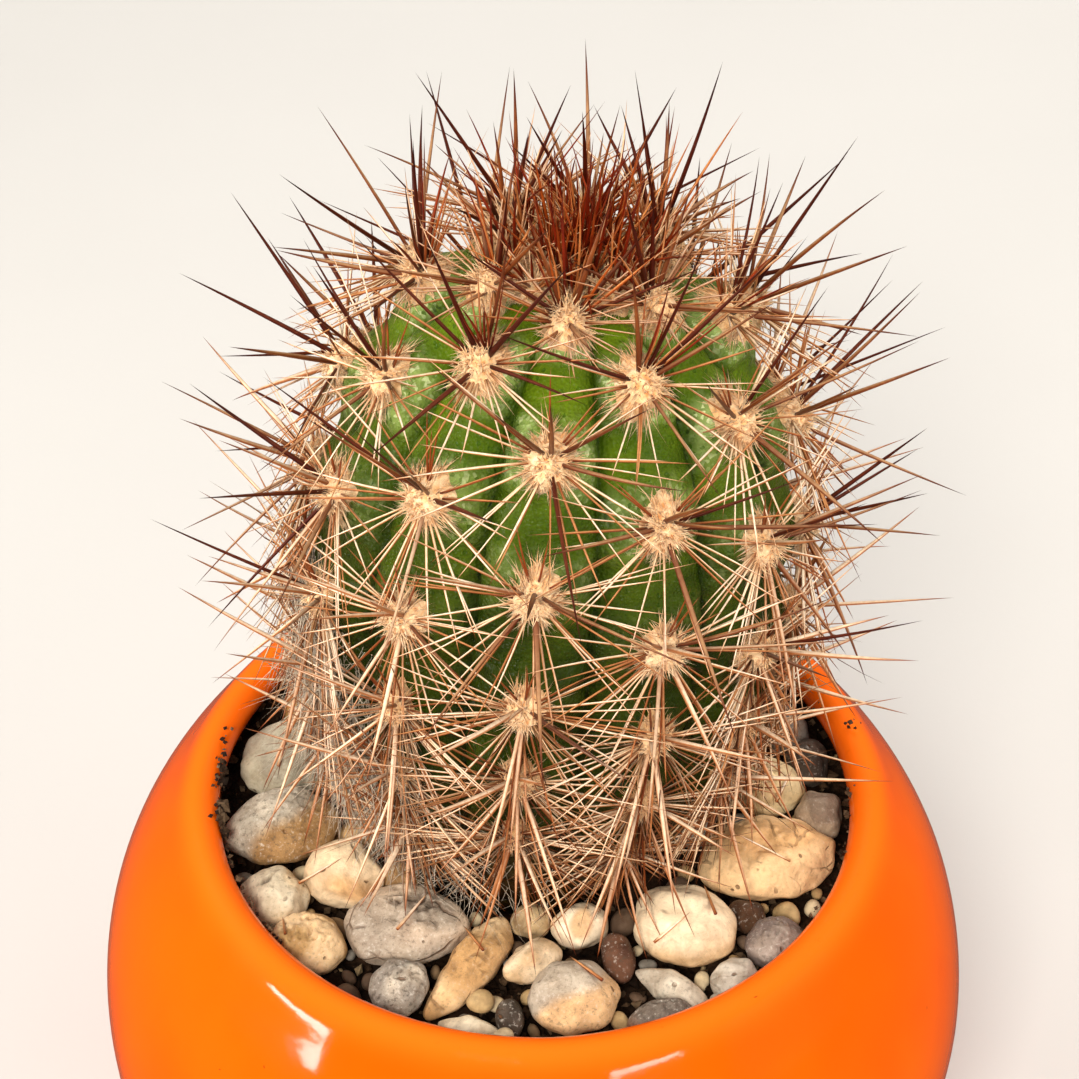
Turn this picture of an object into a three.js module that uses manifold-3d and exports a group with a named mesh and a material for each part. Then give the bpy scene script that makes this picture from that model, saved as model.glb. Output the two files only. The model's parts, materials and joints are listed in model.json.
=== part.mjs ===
// A round, ribbed cactus in a glazed ball pot, bedded in soil under a layer of river pebbles.
// Millimetres, +Z up. The origin is the centre of the pot's flat foot, and -Y is the front.
import * as THREE from "three";
import { mergeVertices } from "three/addons/utils/BufferGeometryUtils.js";
import Module from "manifold-3d";

const wasm = await Module();
wasm.setup();

// ---- Driving dimensions ----

const POT_DIAMETER = 110;
const POT_EQUATOR = 42; // height of the widest ring above the foot
const POT_SQUASH = 0.906; // the ball's height over its width
const POT_WALL = 4.5;
const POT_FLOOR = 5;
const LIP_RADIUS = 40.6; // the lip is a half round bead on this circle
const LIP_BEAD = 2.5;
const LIP_HEIGHT = 73; // centre of the lip's bead
const SHORTEST_EDGE = 0.02; // edges that joins leave shorter than this are closed up
const ROUND_SIDES = 40; // flats round the pot and the soil

const GAP = 0.35; // clearance between pieces that rest on each other
const SOIL_TOP = 66;

const STEM_FOOT = new THREE.Vector3(-1.1, 4.4, 62.2); // where the stem's own axis starts
const STEM_LEAN = THREE.MathUtils.degToRad(3.4); // towards +X
const STEM_HEIGHT = 85.6;
const STEM_WAIST = 42; // height of the widest ring above the stem's foot
const STEM_RADIUS = 26.9; // at the waist, on the ribs
const STEM_FOOT_RADIUS = 14.3;
const STEM_FULLNESS = 2.5; // exponent of the dome above the waist: 2 is an ellipse, more is squarer
const ROOT_NECK = [
  { height: -7, radius: 9.5 },
  { height: -15, radius: 4 },
]; // the buried neck narrows to the root

const RIBS = 12;
const FIRST_RIB = THREE.MathUtils.degToRad(-6); // from the front, positive towards +X
const RIB_DEPTH = 3.1;
const TUBERCLE = 0.9; // how far the rib swells under a cushion, and dips between two
const CROWN_ARC = 9.7; // along the surface from the growing point to the first row of cushions
const UPPER_PITCH = 7.3; // between rows above the waist, along the surface
const LOWER_PITCH = 5.3;
const UPPER_ROWS = 6;
const ROWS = 12;

const CUSHION_WIDTH = 5.6;
const CUSHION_RISE = 1.5;
const CROWN_WIDTH = 13;
const CROWN_RISE = 2.6;
const CROWN_SINK = 0.6; // the crown's cushion lies this far into the dip at the growing point

const CENTRAL_SPINES = [14, 18, 21, 20, 18, 17]; // length by row, the last one for all rows below
const CENTRAL_SPREAD = 3; // how much longer the longest is
const STAR_SPINE = 12;
const STAR_SPREAD = 4;
const CROWN_SPINE = 14;
const CROWN_SPREAD = 4;
const CROWN_COUNT = 28;
const GOLDEN_ANGLE = Math.PI * (3 - Math.sqrt(5));
const CENTRAL_THICKNESS = 1; // at the root
const STAR_THICKNESS = 0.7;
const CROWN_THICKNESS = 0.8;
const SPINE_ROOT = 0.8; // how far a spine starts below the cushion's face
const SPINE_CLEARANCE = 0.9;
const SHORTEST_SPINE = 5;

// ---- Shared helpers ----

function seededRandom(seed) {
  let state = seed;
  return () => {
    state = (state + 0x6d2b79f5) | 0;
    let mixed = Math.imul(state ^ (state >>> 15), 1 | state);
    mixed = (mixed + Math.imul(mixed ^ (mixed >>> 7), 61 | mixed)) ^ mixed;
    return ((mixed ^ (mixed >>> 14)) >>> 0) / 4294967296;
  };
}

function solidFrom(geometry) {
  const bare = geometry.clone();
  bare.deleteAttribute("normal");
  bare.deleteAttribute("uv");
  const merged = mergeVertices(bare, 1e-4);
  const vertProperties = new Float32Array(merged.attributes.position.array);
  const triVerts = new Uint32Array(merged.index.array);
  return new wasm.Manifold(
    new wasm.Mesh({ numProp: 3, vertProperties, triVerts }),
  );
}

function geometryFrom(solid) {
  const mesh = solid.getMesh();
  const geometry = new THREE.BufferGeometry();
  geometry.setAttribute(
    "position",
    new THREE.BufferAttribute(new Float32Array(mesh.vertProperties), 3),
  );
  geometry.setIndex(new THREE.BufferAttribute(new Uint32Array(mesh.triVerts), 1));
  geometry.computeVertexNormals();
  return geometry;
}

function largestBody(solid) {
  return solid.decompose().sort((a, b) => b.volume() - a.volume())[0];
}

// A closed surface through rings of equal length, listed from the top down, with a point at each end.
function closedRings(topPoint, rings, bottomPoint) {
  const count = rings[0].length;
  const points = [topPoint, ...rings.flat(), bottomPoint];
  const last = points.length - 1;
  const index = [];
  for (let i = 0; i < count; i++) {
    const next = (i + 1) % count;
    index.push(0, 1 + i, 1 + next);
    for (let ring = 0; ring < rings.length - 1; ring++) {
      const upper = 1 + ring * count;
      const lower = upper + count;
      index.push(upper + i, lower + i, lower + next);
      index.push(upper + i, lower + next, upper + next);
    }
    index.push(last, last - count + next, last - count + i);
  }
  const geometry = new THREE.BufferGeometry().setFromPoints(points);
  geometry.setIndex(index);
  return geometry;
}

// ---- Pot ----

function ballRadius(height, inset) {
  const across = POT_DIAMETER / 2 - inset;
  const up = (POT_SQUASH * POT_DIAMETER) / 2 - inset;
  const along = (height - POT_EQUATOR) / up;
  return across * Math.sqrt(Math.max(0, 1 - along * along));
}

const MOUTH_RADIUS = LIP_RADIUS - LIP_BEAD;

function innerRadius(height) {
  const ball = ballRadius(height, POT_WALL);
  return height > POT_EQUATOR ? Math.max(ball, MOUTH_RADIUS) : ball;
}

const WALL_HEIGHTS = [POT_FLOOR, 16, 29, 42, 54, 64, 71.7];

function latheUp(profile) {
  const points = profile.map(([radius, height]) => new THREE.Vector2(radius, height));
  const lathe = new THREE.LatheGeometry(points, ROUND_SIDES);
  return lathe.rotateX(Math.PI / 2); // the lathe turns round Y, and the pot stands along Z
}

function potGeometry() {
  const outside = [0, 7, 17, 29, 42, 55, 66].map((height) => [
    ballRadius(height, 0),
    height,
  ]);
  const lip = [];
  for (let angle = 0; angle <= 180; angle += 45) {
    const turn = THREE.MathUtils.degToRad(angle);
    lip.push([
      LIP_RADIUS + LIP_BEAD * Math.cos(turn),
      LIP_HEIGHT + LIP_BEAD * Math.sin(turn),
    ]);
  }
  const inside = WALL_HEIGHTS.toReversed().map((height) => [innerRadius(height), height]);
  return latheUp([[0, 0], ...outside, ...lip, ...inside, [0, POT_FLOOR]]);
}

// ---- Stem ----

// The stem's outline from the growing point down, as [radius, height, arc from the growing point].
const STEM_OUTLINE = stemOutline();

function stemOutline() {
  const points = [];
  const domeHeight = STEM_HEIGHT - STEM_WAIST;
  const power = 2 / STEM_FULLNESS;
  for (let step = 0; step <= 90; step++) {
    const angle = ((90 - step) * Math.PI) / 180;
    const radius = step === 0 ? 0 : STEM_RADIUS * Math.cos(angle) ** power;
    points.push([radius, STEM_WAIST + domeHeight * Math.sin(angle) ** power]);
  }
  for (let height = STEM_WAIST - 1; height >= 0; height--) {
    const down = (STEM_WAIST - height) / STEM_WAIST;
    points.push([
      STEM_RADIUS - (STEM_RADIUS - STEM_FOOT_RADIUS) * down * down,
      height,
    ]);
  }
  let arc = 0;
  return points.map(([radius, height], i) => {
    if (i > 0) {
      arc += Math.hypot(radius - points[i - 1][0], height - points[i - 1][1]);
    }
    return [radius, height, arc];
  });
}

// Radius, height and outward slope of the outline at an arc from the growing point.
function outlineAt(arc) {
  const after = STEM_OUTLINE.findIndex((point) => point[2] > arc);
  const upper = STEM_OUTLINE[Math.max(after, 1) - 1];
  const lower = STEM_OUTLINE[Math.max(after, 1)];
  const share = (arc - upper[2]) / (lower[2] - upper[2]);
  const radius = upper[0] + share * (lower[0] - upper[0]);
  const height = upper[1] + share * (lower[1] - upper[1]);
  const length = lower[2] - upper[2];
  return {
    radius,
    height,
    outward: (upper[1] - lower[1]) / length,
    upward: (lower[0] - upper[0]) / length,
  };
}

function stemRadiusAt(height) {
  const lower = STEM_OUTLINE.findIndex((point) => point[1] <= height);
  return lower < 0 ? STEM_FOOT_RADIUS : STEM_OUTLINE[lower][0];
}

// Arc of a row of cushions from the growing point. Rows of even and odd ribs take turns.
function rowArc(row) {
  const upper = Math.min(row, UPPER_ROWS);
  return CROWN_ARC + upper * UPPER_PITCH + (row - upper) * LOWER_PITCH;
}

function rowAt(arc) {
  const waistArc = rowArc(UPPER_ROWS);
  if (arc < waistArc) {
    return (arc - CROWN_ARC) / UPPER_PITCH;
  }
  return UPPER_ROWS + (arc - waistArc) / LOWER_PITCH;
}

function ribAngle(rib) {
  return FIRST_RIB + (rib * 2 * Math.PI) / RIBS;
}

// A point of the ribbed skin. Across is the place across the rib: 0 on its crest, 0.5 in the groove.
function skinPoint(rib, across, arc) {
  const { radius, height, outward, upward } = outlineAt(arc);
  const onCrest = Math.abs(Math.cos(Math.PI * across)) ** 0.8;
  const ribbed =
    THREE.MathUtils.smoothstep(arc, 3, 16) * THREE.MathUtils.smoothstep(height, 3, 14);
  const swell = TUBERCLE * Math.cos(Math.PI * (rowAt(arc) - (rib % 2))) * onCrest;
  const lift = ribbed * (swell - RIB_DEPTH * (1 - onCrest));
  const angle = ribAngle(rib + across);
  const reach = radius + lift * outward;
  return new THREE.Vector3(
    reach * Math.sin(angle),
    -reach * Math.cos(angle),
    height + lift * upward,
  );
}

function stemGeometry() {
  const arcs = [3, 6];
  for (let row = 0; row < ROWS; row++) {
    arcs.push(rowArc(row));
  }
  const footArc = STEM_OUTLINE.at(-1)[2];
  arcs.push(rowArc(ROWS - 1) + 6, footArc - 5, footArc - 0.01);
  const acrossPlaces = [0, 0.25, 0.5, 0.75];
  const rings = arcs.map((arc) => {
    const ring = [];
    for (let rib = 0; rib < RIBS; rib++) {
      for (const across of acrossPlaces) {
        const fromCrest = across > 0.5 ? across - 1 : across;
        ring.push(skinPoint(across > 0.5 ? rib + 1 : rib, fromCrest, arc));
      }
    }
    return ring;
  });
  for (const { height, radius } of ROOT_NECK) {
    rings.push(
      rings[0].map((_, i) => {
        const angle = FIRST_RIB + (i * 2 * Math.PI) / rings[0].length;
        return new THREE.Vector3(
          radius * Math.sin(angle),
          -radius * Math.cos(angle),
          height,
        );
      }),
    );
  }
  const top = new THREE.Vector3(0, 0, STEM_HEIGHT);
  const bottom = new THREE.Vector3(0, 0, ROOT_NECK.at(-1).height - 2);
  return closedRings(top, rings, bottom);
}

// The round hole that the stem's foot and neck stand in, in the stem's own frame.
function stemHole() {
  const lathe = [
    [0, ROOT_NECK[1].height - 2 - GAP],
    [ROOT_NECK[1].radius + GAP, ROOT_NECK[1].height - GAP],
    [ROOT_NECK[0].radius + GAP, ROOT_NECK[0].height - GAP],
    [STEM_FOOT_RADIUS + 2 * GAP, -GAP],
    [stemRadiusAt(6) + 2 * GAP, 6],
    [stemRadiusAt(12) + 2 * GAP, 12],
    [0, 12],
  ];
  return solidFrom(latheUp(lathe));
}

const stemPlace = new THREE.Matrix4()
  .makeRotationY(STEM_LEAN)
  .setPosition(STEM_FOOT);

// ---- Pebbles ----

const STONE = {
  grey: 0x9b9486,
  cream: 0xe6d6b4,
  tan: 0xc0a57c,
  yellow: 0xdcb26c,
  brown: 0x6b5546,
};

// The pebbles that show, by the place of their middle, their length, width and height, the turn of
// their length from +X and the tilt of its far end, both in degrees, and their stone.
const SHOWN_PEBBLES = [
  { x: -31.5, y: 8.5, size: [11.4, 10.5, 7.2], turn: 10, stone: "grey" },
  { x: -31.5, y: -3.5, size: [14.6, 10.6, 7.6], turn: 18, tilt: 6, stone: "grey" },
  { x: -24.5, y: -12, size: [9.2, 8.6, 6.8], turn: 0, stone: "cream" },
  { x: -22.5, y: -4, size: [6, 5.6, 4.6], turn: 20, stone: "tan" },
  { x: -18.5, y: -10.5, size: [4.4, 4.6, 4], turn: 0, stone: "tan" },
  { x: -31.5, y: -15, size: [9, 7.4, 6], turn: -35, stone: "cream" },
  { x: -25.5, y: -21.5, size: [8.6, 8, 6.2], turn: 0, stone: "tan" },
  { x: -15.5, y: -18.5, size: [14.2, 10.6, 6.2], turn: 4, stone: "grey" },
  { x: -14, y: -28, size: [6.6, 7.2, 5.4], turn: 0, stone: "grey" },
  { x: -7.5, y: -24, size: [15.5, 5.2, 4.8], turn: 55, tilt: 8, stone: "yellow" },
  { x: -7.5, y: -33, size: [6.4, 3.6, 4], turn: 0, stone: "cream" },
  { x: 0, y: -17, size: [4.6, 3.8, 4], turn: 0, stone: "tan" },
  { x: 0, y: -22, size: [7.8, 4.4, 4.8], turn: 33, stone: "cream" },
  { x: 6, y: -19.5, size: [6.8, 6, 5.4], turn: 20, stone: "cream" },
  { x: 5, y: -29, size: [11.4, 9.2, 6.8], turn: 22, stone: "tan" },
  { x: -2.5, y: -31.5, size: [3.2, 5, 4.2], turn: 0, stone: "brown" },
  { x: 10, y: -22, size: [3.8, 6.6, 4.2], turn: 10, stone: "brown" },
  { x: 14.5, y: -25.5, size: [9.4, 3.8, 3.8], turn: -33, stone: "grey" },
  { x: 15.5, y: -31, size: [8, 5.6, 5], turn: 20, stone: "brown" },
  { x: 18, y: -19.5, size: [12.4, 10.6, 7.6], turn: -15, stone: "cream" },
  { x: 23, y: -24.5, size: [6.6, 4.8, 4.6], turn: 48, stone: "cream" },
  { x: 28, y: -19.5, size: [7.8, 6.4, 5.2], turn: 25, stone: "brown" },
  { x: 24.5, y: -14, size: [4.8, 3.8, 3.8], turn: 0, stone: "brown" },
  { x: 28, y: -8, size: [15.8, 12, 7.2], turn: 8, stone: "yellow" },
  { x: 29, y: 5.5, size: [10.4, 8.4, 6.4], turn: -15, stone: "cream" },
  { x: 26, y: 13, size: [6.6, 5.2, 5], turn: 0, stone: "tan" },
  { x: 35, y: -0.5, size: [5.8, 6.4, 5.4], turn: 0, stone: "brown" },
  { x: 35, y: 9, size: [5.4, 6.6, 5], turn: 0, stone: "grey" },
  { x: 32.5, y: 16, size: [6.4, 6, 5.6], turn: 0, stone: "grey" },
  { x: 29.5, y: 22.5, size: [5.8, 6, 6.4], turn: 0, stone: "tan" },
  { x: 23.5, y: 28, size: [6.4, 6, 7], turn: 0, stone: "tan" },
];

// Behind the plant the pebbles lie in rings, each given by its radius, the angles from the front
// between which it runs, and the size of its stones.
const REAR_RINGS = [
  { radius: 33.5, from: 157, to: 230, count: 6, size: 8.4 },
  { radius: 25.5, from: 145, to: 230, count: 6, size: 6 },
];

function rearPebbles() {
  const random = seededRandom(11);
  const stones = Object.keys(STONE);
  return REAR_RINGS.flatMap(({ radius, from, to, count, size }) =>
    Array.from({ length: count }, (_, i) => {
      const angle = THREE.MathUtils.degToRad(from + ((to - from) * i) / (count - 1));
      const across = size * (0.85 + 0.3 * random());
      return {
        x: radius * Math.sin(angle),
        y: -radius * Math.cos(angle),
        size: [across * (1.05 + 0.3 * random()), across, across * (0.68 + 0.12 * random())],
        turn: 180 * random(),
        stone: stones[Math.floor(stones.length * random())],
      };
    }),
  );
}

// A worn stone: a ball of flat facets, dented inwards here and there, never outside its ellipsoid.
function pebbleGeometry(half, seed) {
  const random = seededRandom(100 + seed);
  const dents = Array.from({ length: 5 }, () => {
    const angle = 2 * Math.PI * random();
    const rise = 2 * random() - 1;
    const flat = Math.sqrt(1 - rise * rise);
    return {
      towards: new THREE.Vector3(flat * Math.cos(angle), flat * Math.sin(angle), rise),
      depth: 0.04 + 0.08 * random(),
    };
  });
  const geometry = new THREE.IcosahedronGeometry(1, 1);
  const place = geometry.attributes.position;
  const point = new THREE.Vector3();
  for (let i = 0; i < place.count; i++) {
    point.fromBufferAttribute(place, i);
    let scale = 1;
    for (const { towards, depth } of dents) {
      scale -= depth * Math.max(0, point.dot(towards)) ** 2;
    }
    point.multiplyScalar(scale).multiply(half);
    place.setXYZ(i, point.x, point.y, point.z);
  }
  return geometry;
}

// A pebble lying on the soil, on its lowest corner.
function laidPebble({ x, y, size, turn, tilt = 0, stone }, seed) {
  const half = new THREE.Vector3(...size).multiplyScalar(0.5);
  const geometry = pebbleGeometry(half, seed);
  const rotation = new THREE.Quaternion().setFromEuler(
    new THREE.Euler(0, -THREE.MathUtils.degToRad(tilt), THREE.MathUtils.degToRad(turn), "ZYX"),
  );
  const turned = geometry.clone().applyQuaternion(rotation);
  turned.computeBoundingBox();
  const height = SOIL_TOP + GAP - turned.boundingBox.min.z;
  return { centre: new THREE.Vector3(x, y, height), half, rotation, geometry, stone };
}

// The point of a pebble that lies furthest in a direction, as an ellipsoid.
function furthest(pebble, direction) {
  const inverse = pebble.rotation.clone().invert();
  const local = direction.clone().applyQuaternion(inverse);
  const scaled = local.multiply(pebble.half);
  const length = scaled.length();
  return scaled
    .multiply(pebble.half)
    .divideScalar(length)
    .applyQuaternion(pebble.rotation)
    .add(pebble.centre);
}

// The widest gap between two pebbles over a fan of directions, and its direction.
function gapBetween(a, b) {
  const line = b.centre.clone().sub(a.centre).normalize();
  const side = new THREE.Vector3(-line.y, line.x, 0).normalize();
  let best = { gap: -Infinity };
  for (const swing of [-0.9, -0.6, -0.3, 0, 0.3, 0.6, 0.9]) {
    for (const rise of [-0.5, 0, 0.5]) {
      const direction = line.clone().addScaledVector(side, swing);
      direction.z += rise;
      direction.normalize();
      const nearA = furthest(a, direction);
      const nearB = furthest(b, direction.clone().negate());
      const gap = nearB.sub(nearA).dot(direction);
      if (gap > best.gap) {
        best = { gap, direction };
      }
    }
  }
  return best;
}

const SETTLE_PASSES = 400;
const PUSH_SHARE = 0.35;

function pushApart(a, b) {
  if (a.centre.distanceTo(b.centre) > a.half.x + b.half.x + a.half.y + b.half.y) {
    return;
  }
  const { gap, direction } = gapBetween(a, b);
  if (gap > GAP) {
    return;
  }
  const push = direction.clone().setZ(0).normalize();
  const weight = b.half.x * b.half.y + a.half.x * a.half.y;
  const shareOfA = (b.half.x * b.half.y) / weight;
  const distance = PUSH_SHARE * (GAP - gap + 0.05);
  a.centre.addScaledVector(push, -2 * shareOfA * distance);
  b.centre.addScaledVector(push, 2 * (1 - shareOfA) * distance);
}

// Moves a pebble in from the pot's wall and out from the stem.
function keepInside(pebble) {
  const { centre } = pebble;
  const outward = new THREE.Vector3(centre.x, centre.y, 0).normalize();
  let tooFar = 0;
  for (const rise of [-0.6, 0, 0.4, 0.8, 1.4]) {
    const point = furthest(pebble, outward.clone().setZ(rise).normalize());
    const room = Math.min(innerRadius(point.z), innerRadius(point.z + 1)) - 2 * GAP;
    tooFar = Math.max(tooFar, Math.hypot(point.x, point.y) - room);
  }
  centre.addScaledVector(outward, -PUSH_SHARE * tooFar);
  const axisLine = centre.z - STEM_FOOT.z;
  const axis = new THREE.Vector3(Math.tan(STEM_LEAN) * axisLine, 0, 0).add(STEM_FOOT);
  const away = centre.clone().sub(axis).setZ(0).normalize();
  let tooNear = 0;
  for (const rise of [-0.4, 0, 0.4, 0.8, 1.4]) {
    const point = furthest(pebble, away.clone().negate().setZ(rise).normalize());
    const room = stemRadiusAt(Math.max(0, point.z - STEM_FOOT.z)) + 3 * GAP;
    const distance = point.clone().sub(axis).setZ(0).dot(away);
    tooNear = Math.max(tooNear, room - distance);
  }
  centre.addScaledVector(away, PUSH_SHARE * tooNear);
}

function settledPebbles() {
  const pebbles = [...SHOWN_PEBBLES, ...rearPebbles()].map(laidPebble);
  for (let pass = 0; pass < SETTLE_PASSES; pass++) {
    for (let i = 0; i < pebbles.length; i++) {
      for (let j = i + 1; j < pebbles.length; j++) {
        pushApart(pebbles[i], pebbles[j]);
      }
    }
    pebbles.forEach(keepInside);
  }
  return pebbles;
}

const pebbles = settledPebbles();

// ---- Soil ----

function soilSolid() {
  const wall = WALL_HEIGHTS.filter((height) => height < SOIL_TOP).map((height) => [
    innerRadius(height) - GAP,
    height === POT_FLOOR ? height + GAP : height,
  ]);
  const edge = [innerRadius(SOIL_TOP) - GAP, SOIL_TOP];
  const filling = latheUp([[0, POT_FLOOR + GAP], ...wall, edge, [0, SOIL_TOP]]);
  const hole = stemHole().transform(stemPlace.elements);
  return largestBody(solidFrom(filling).subtract(hole));
}

// ---- Cushions and spines ----

// The place and the directions of a cushion: out of the skin, up along the rib, and across it.
function cushionPlace(rib, arc) {
  const at = skinPoint(rib, 0, arc);
  const { outward, upward } = outlineAt(arc);
  const angle = ribAngle(rib);
  const out = new THREE.Vector3(
    outward * Math.sin(angle),
    -outward * Math.cos(angle),
    upward,
  );
  const across = new THREE.Vector3(Math.cos(angle), Math.sin(angle), 0);
  const up = new THREE.Vector3().crossVectors(out, across);
  return { at, out, up, across };
}

function cushionSolid({ at, out, up, across }, width, rise) {
  const ball = new THREE.IcosahedronGeometry(1, 0);
  ball.scale(width / 2, width / 2, rise);
  const turn = new THREE.Matrix4().makeBasis(across, up, out).setPosition(at);
  return solidFrom(ball.applyMatrix4(turn));
}

// Whether a point in the stem's frame is too near a pebble, the soil or the pot.
function isBlocked(point) {
  const world = point.clone().applyMatrix4(stemPlace);
  const radius = Math.hypot(world.x, world.y);
  if (world.z < SOIL_TOP + SPINE_CLEARANCE && radius < innerRadius(world.z)) {
    return true;
  }
  const lipTop = LIP_HEIGHT + LIP_BEAD + SPINE_CLEARANCE;
  const wallInside = innerRadius(world.z) - SPINE_CLEARANCE;
  if (world.z < lipTop && radius > wallInside && radius < ballRadius(world.z, 0) + LIP_BEAD) {
    return true;
  }
  return pebbles.some(({ centre, half, rotation }) => {
    const local = world.clone().sub(centre).applyQuaternion(rotation.clone().invert());
    const grown = half.clone().addScalar(SPINE_CLEARANCE);
    return local.divide(grown).length() < 1;
  });
}

function freeLength(from, direction, wanted) {
  for (let length = 3; length < wanted; length += 1) {
    if (isBlocked(from.clone().addScaledVector(direction, length + 1))) {
      return length - 1;
    }
  }
  return wanted;
}

// A three-sided needle whose root lies below the skin.
function needleSolid(from, direction, length, thickness) {
  const side = new THREE.Vector3(0.3, 0.9, 0.1).cross(direction).normalize();
  const other = side.clone().cross(direction).normalize();
  const root = from.clone().addScaledVector(direction, -SPINE_ROOT);
  const corners = [0, 1, 2].map((corner) => {
    const angle = (corner * 2 * Math.PI) / 3;
    return root
      .clone()
      .addScaledVector(side, (thickness / 2) * Math.cos(angle))
      .addScaledVector(other, (thickness / 2) * Math.sin(angle));
  });
  const tip = from.clone().addScaledVector(direction, length);
  const geometry = new THREE.BufferGeometry().setFromPoints([...corners, tip]);
  geometry.setIndex([0, 1, 2, 0, 3, 1, 1, 3, 2, 2, 3, 0]);
  return solidFrom(geometry);
}

// How the spines of one cushion stand: centrals are few, long and thick, and the rest are thin and
// spread like a star. Near the crown the centrals stand up and outwards, as in a fountain.
function spinesOfCushion(place, row, random) {
  const spines = [];
  const grow = (lean, turn, length, thickness) => {
    const sideways = place.across.clone().multiplyScalar(Math.sin(turn));
    sideways.addScaledVector(place.up, Math.cos(turn));
    const direction = place.out
      .clone()
      .multiplyScalar(Math.cos(lean))
      .addScaledVector(sideways, Math.sin(lean));
    spines.push({ direction, length, thickness });
  };
  const nearCrown = row < 2;
  const centralTurns = nearCrown ? [Math.PI - 0.5, Math.PI + 0.5] : [0, Math.PI];
  const central = CENTRAL_SPINES[Math.min(row, CENTRAL_SPINES.length - 1)];
  for (const turn of centralTurns) {
    const lean = (nearCrown ? 0.3 : 0.5) + 0.3 * random();
    const swing = 0.8 * (random() - 0.5);
    grow(lean, turn + swing, central + CENTRAL_SPREAD * random(), CENTRAL_THICKNESS);
  }
  const stars = row < UPPER_ROWS ? 4 : 3;
  for (let i = 0; i < stars; i++) {
    const turn = ((i + 0.5) * 2 * Math.PI) / stars + 0.5 * (random() - 0.5);
    const length = STAR_SPINE + STAR_SPREAD * random();
    grow(1 + 0.2 * random(), turn, length, STAR_THICKNESS);
  }
  return spines;
}

function crownSpines(random) {
  const spines = [];
  for (let i = 0; i < CROWN_COUNT; i++) {
    const share = Math.sqrt((i + 0.5) / CROWN_COUNT);
    const angle = i * GOLDEN_ANGLE;
    const lean = 0.08 + 0.55 * share + 0.1 * random();
    const from = new THREE.Vector3(
      0.4 * CROWN_WIDTH * share * Math.cos(angle),
      0.4 * CROWN_WIDTH * share * Math.sin(angle),
      STEM_HEIGHT + 0.3 * CROWN_RISE,
    );
    const direction = new THREE.Vector3(
      Math.sin(lean) * Math.cos(angle),
      Math.sin(lean) * Math.sin(angle),
      Math.cos(lean),
    );
    const length = CROWN_SPINE + CROWN_SPREAD * random();
    spines.push({ from, direction, length, thickness: CROWN_THICKNESS });
  }
  return spines;
}

function cactusSolid() {
  const random = seededRandom(8);
  const pieces = [solidFrom(stemGeometry())];
  const needles = [];
  const crown = {
    at: new THREE.Vector3(0, 0, STEM_HEIGHT - CROWN_SINK),
    out: new THREE.Vector3(0, 0, 1),
    up: new THREE.Vector3(0, 1, 0),
    across: new THREE.Vector3(1, 0, 0),
  };
  pieces.push(cushionSolid(crown, CROWN_WIDTH, CROWN_RISE));
  for (let row = 0; row < ROWS; row++) {
    for (let rib = row % 2; rib < RIBS; rib += 2) {
      const place = cushionPlace(rib, rowArc(row));
      pieces.push(cushionSolid(place, CUSHION_WIDTH, CUSHION_RISE));
      const from = place.at.clone().addScaledVector(place.out, 0.4 * CUSHION_RISE);
      for (const { direction, length, thickness } of spinesOfCushion(place, row, random)) {
        needles.push({ from, direction, length, thickness });
      }
    }
  }
  needles.push(...crownSpines(random));
  for (const { from, direction, length, thickness } of needles) {
    const free = freeLength(from, direction, length);
    if (free >= SHORTEST_SPINE) {
      pieces.push(needleSolid(from, direction, free, thickness));
    }
  }
  const joined = pieces.reduce((whole, piece) => whole.add(piece));
  return largestBody(joined.simplify(SHORTEST_EDGE));
}

// ---- Assembly ----

function material(color, roughness) {
  return new THREE.MeshStandardMaterial({ color, roughness, metalness: 0 });
}

function namedMesh(name, geometry, look) {
  const mesh = new THREE.Mesh(geometry, look);
  mesh.name = name;
  return mesh;
}

const group = new THREE.Group();

group.add(namedMesh("pot", potGeometry(), material(0xff780a, 0.12)));
group.add(namedMesh("soil", geometryFrom(soilSolid()), material(0x3a2b20, 0.95)));

pebbles.forEach((pebble, i) => {
  const name = "pebble_" + String(i + 1).padStart(2, "0");
  const look = material(STONE[pebble.stone], 0.6);
  const mesh = namedMesh(name, pebble.geometry, look);
  mesh.position.copy(pebble.centre);
  mesh.quaternion.copy(pebble.rotation);
  group.add(mesh);
});

const plant = new THREE.Group();
plant.position.copy(STEM_FOOT);
plant.rotation.y = STEM_LEAN;
plant.add(namedMesh("cactus", geometryFrom(cactusSolid()), material(0x4c8a34, 0.5)));
group.add(plant);

export default group;
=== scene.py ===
"""A round, ribbed cactus in a glazed ball pot, standing in soil under a layer of river pebbles.

Lengths in the sections are millimetres, and MM turns them into Blender's metres. The frame's
origin is the centre of the pot's foot, +Z is up and -Y is the front.
"""
import json
import math

import bmesh
import bpy
import numpy as np
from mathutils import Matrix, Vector
from mathutils.bvhtree import BVHTree


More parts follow.
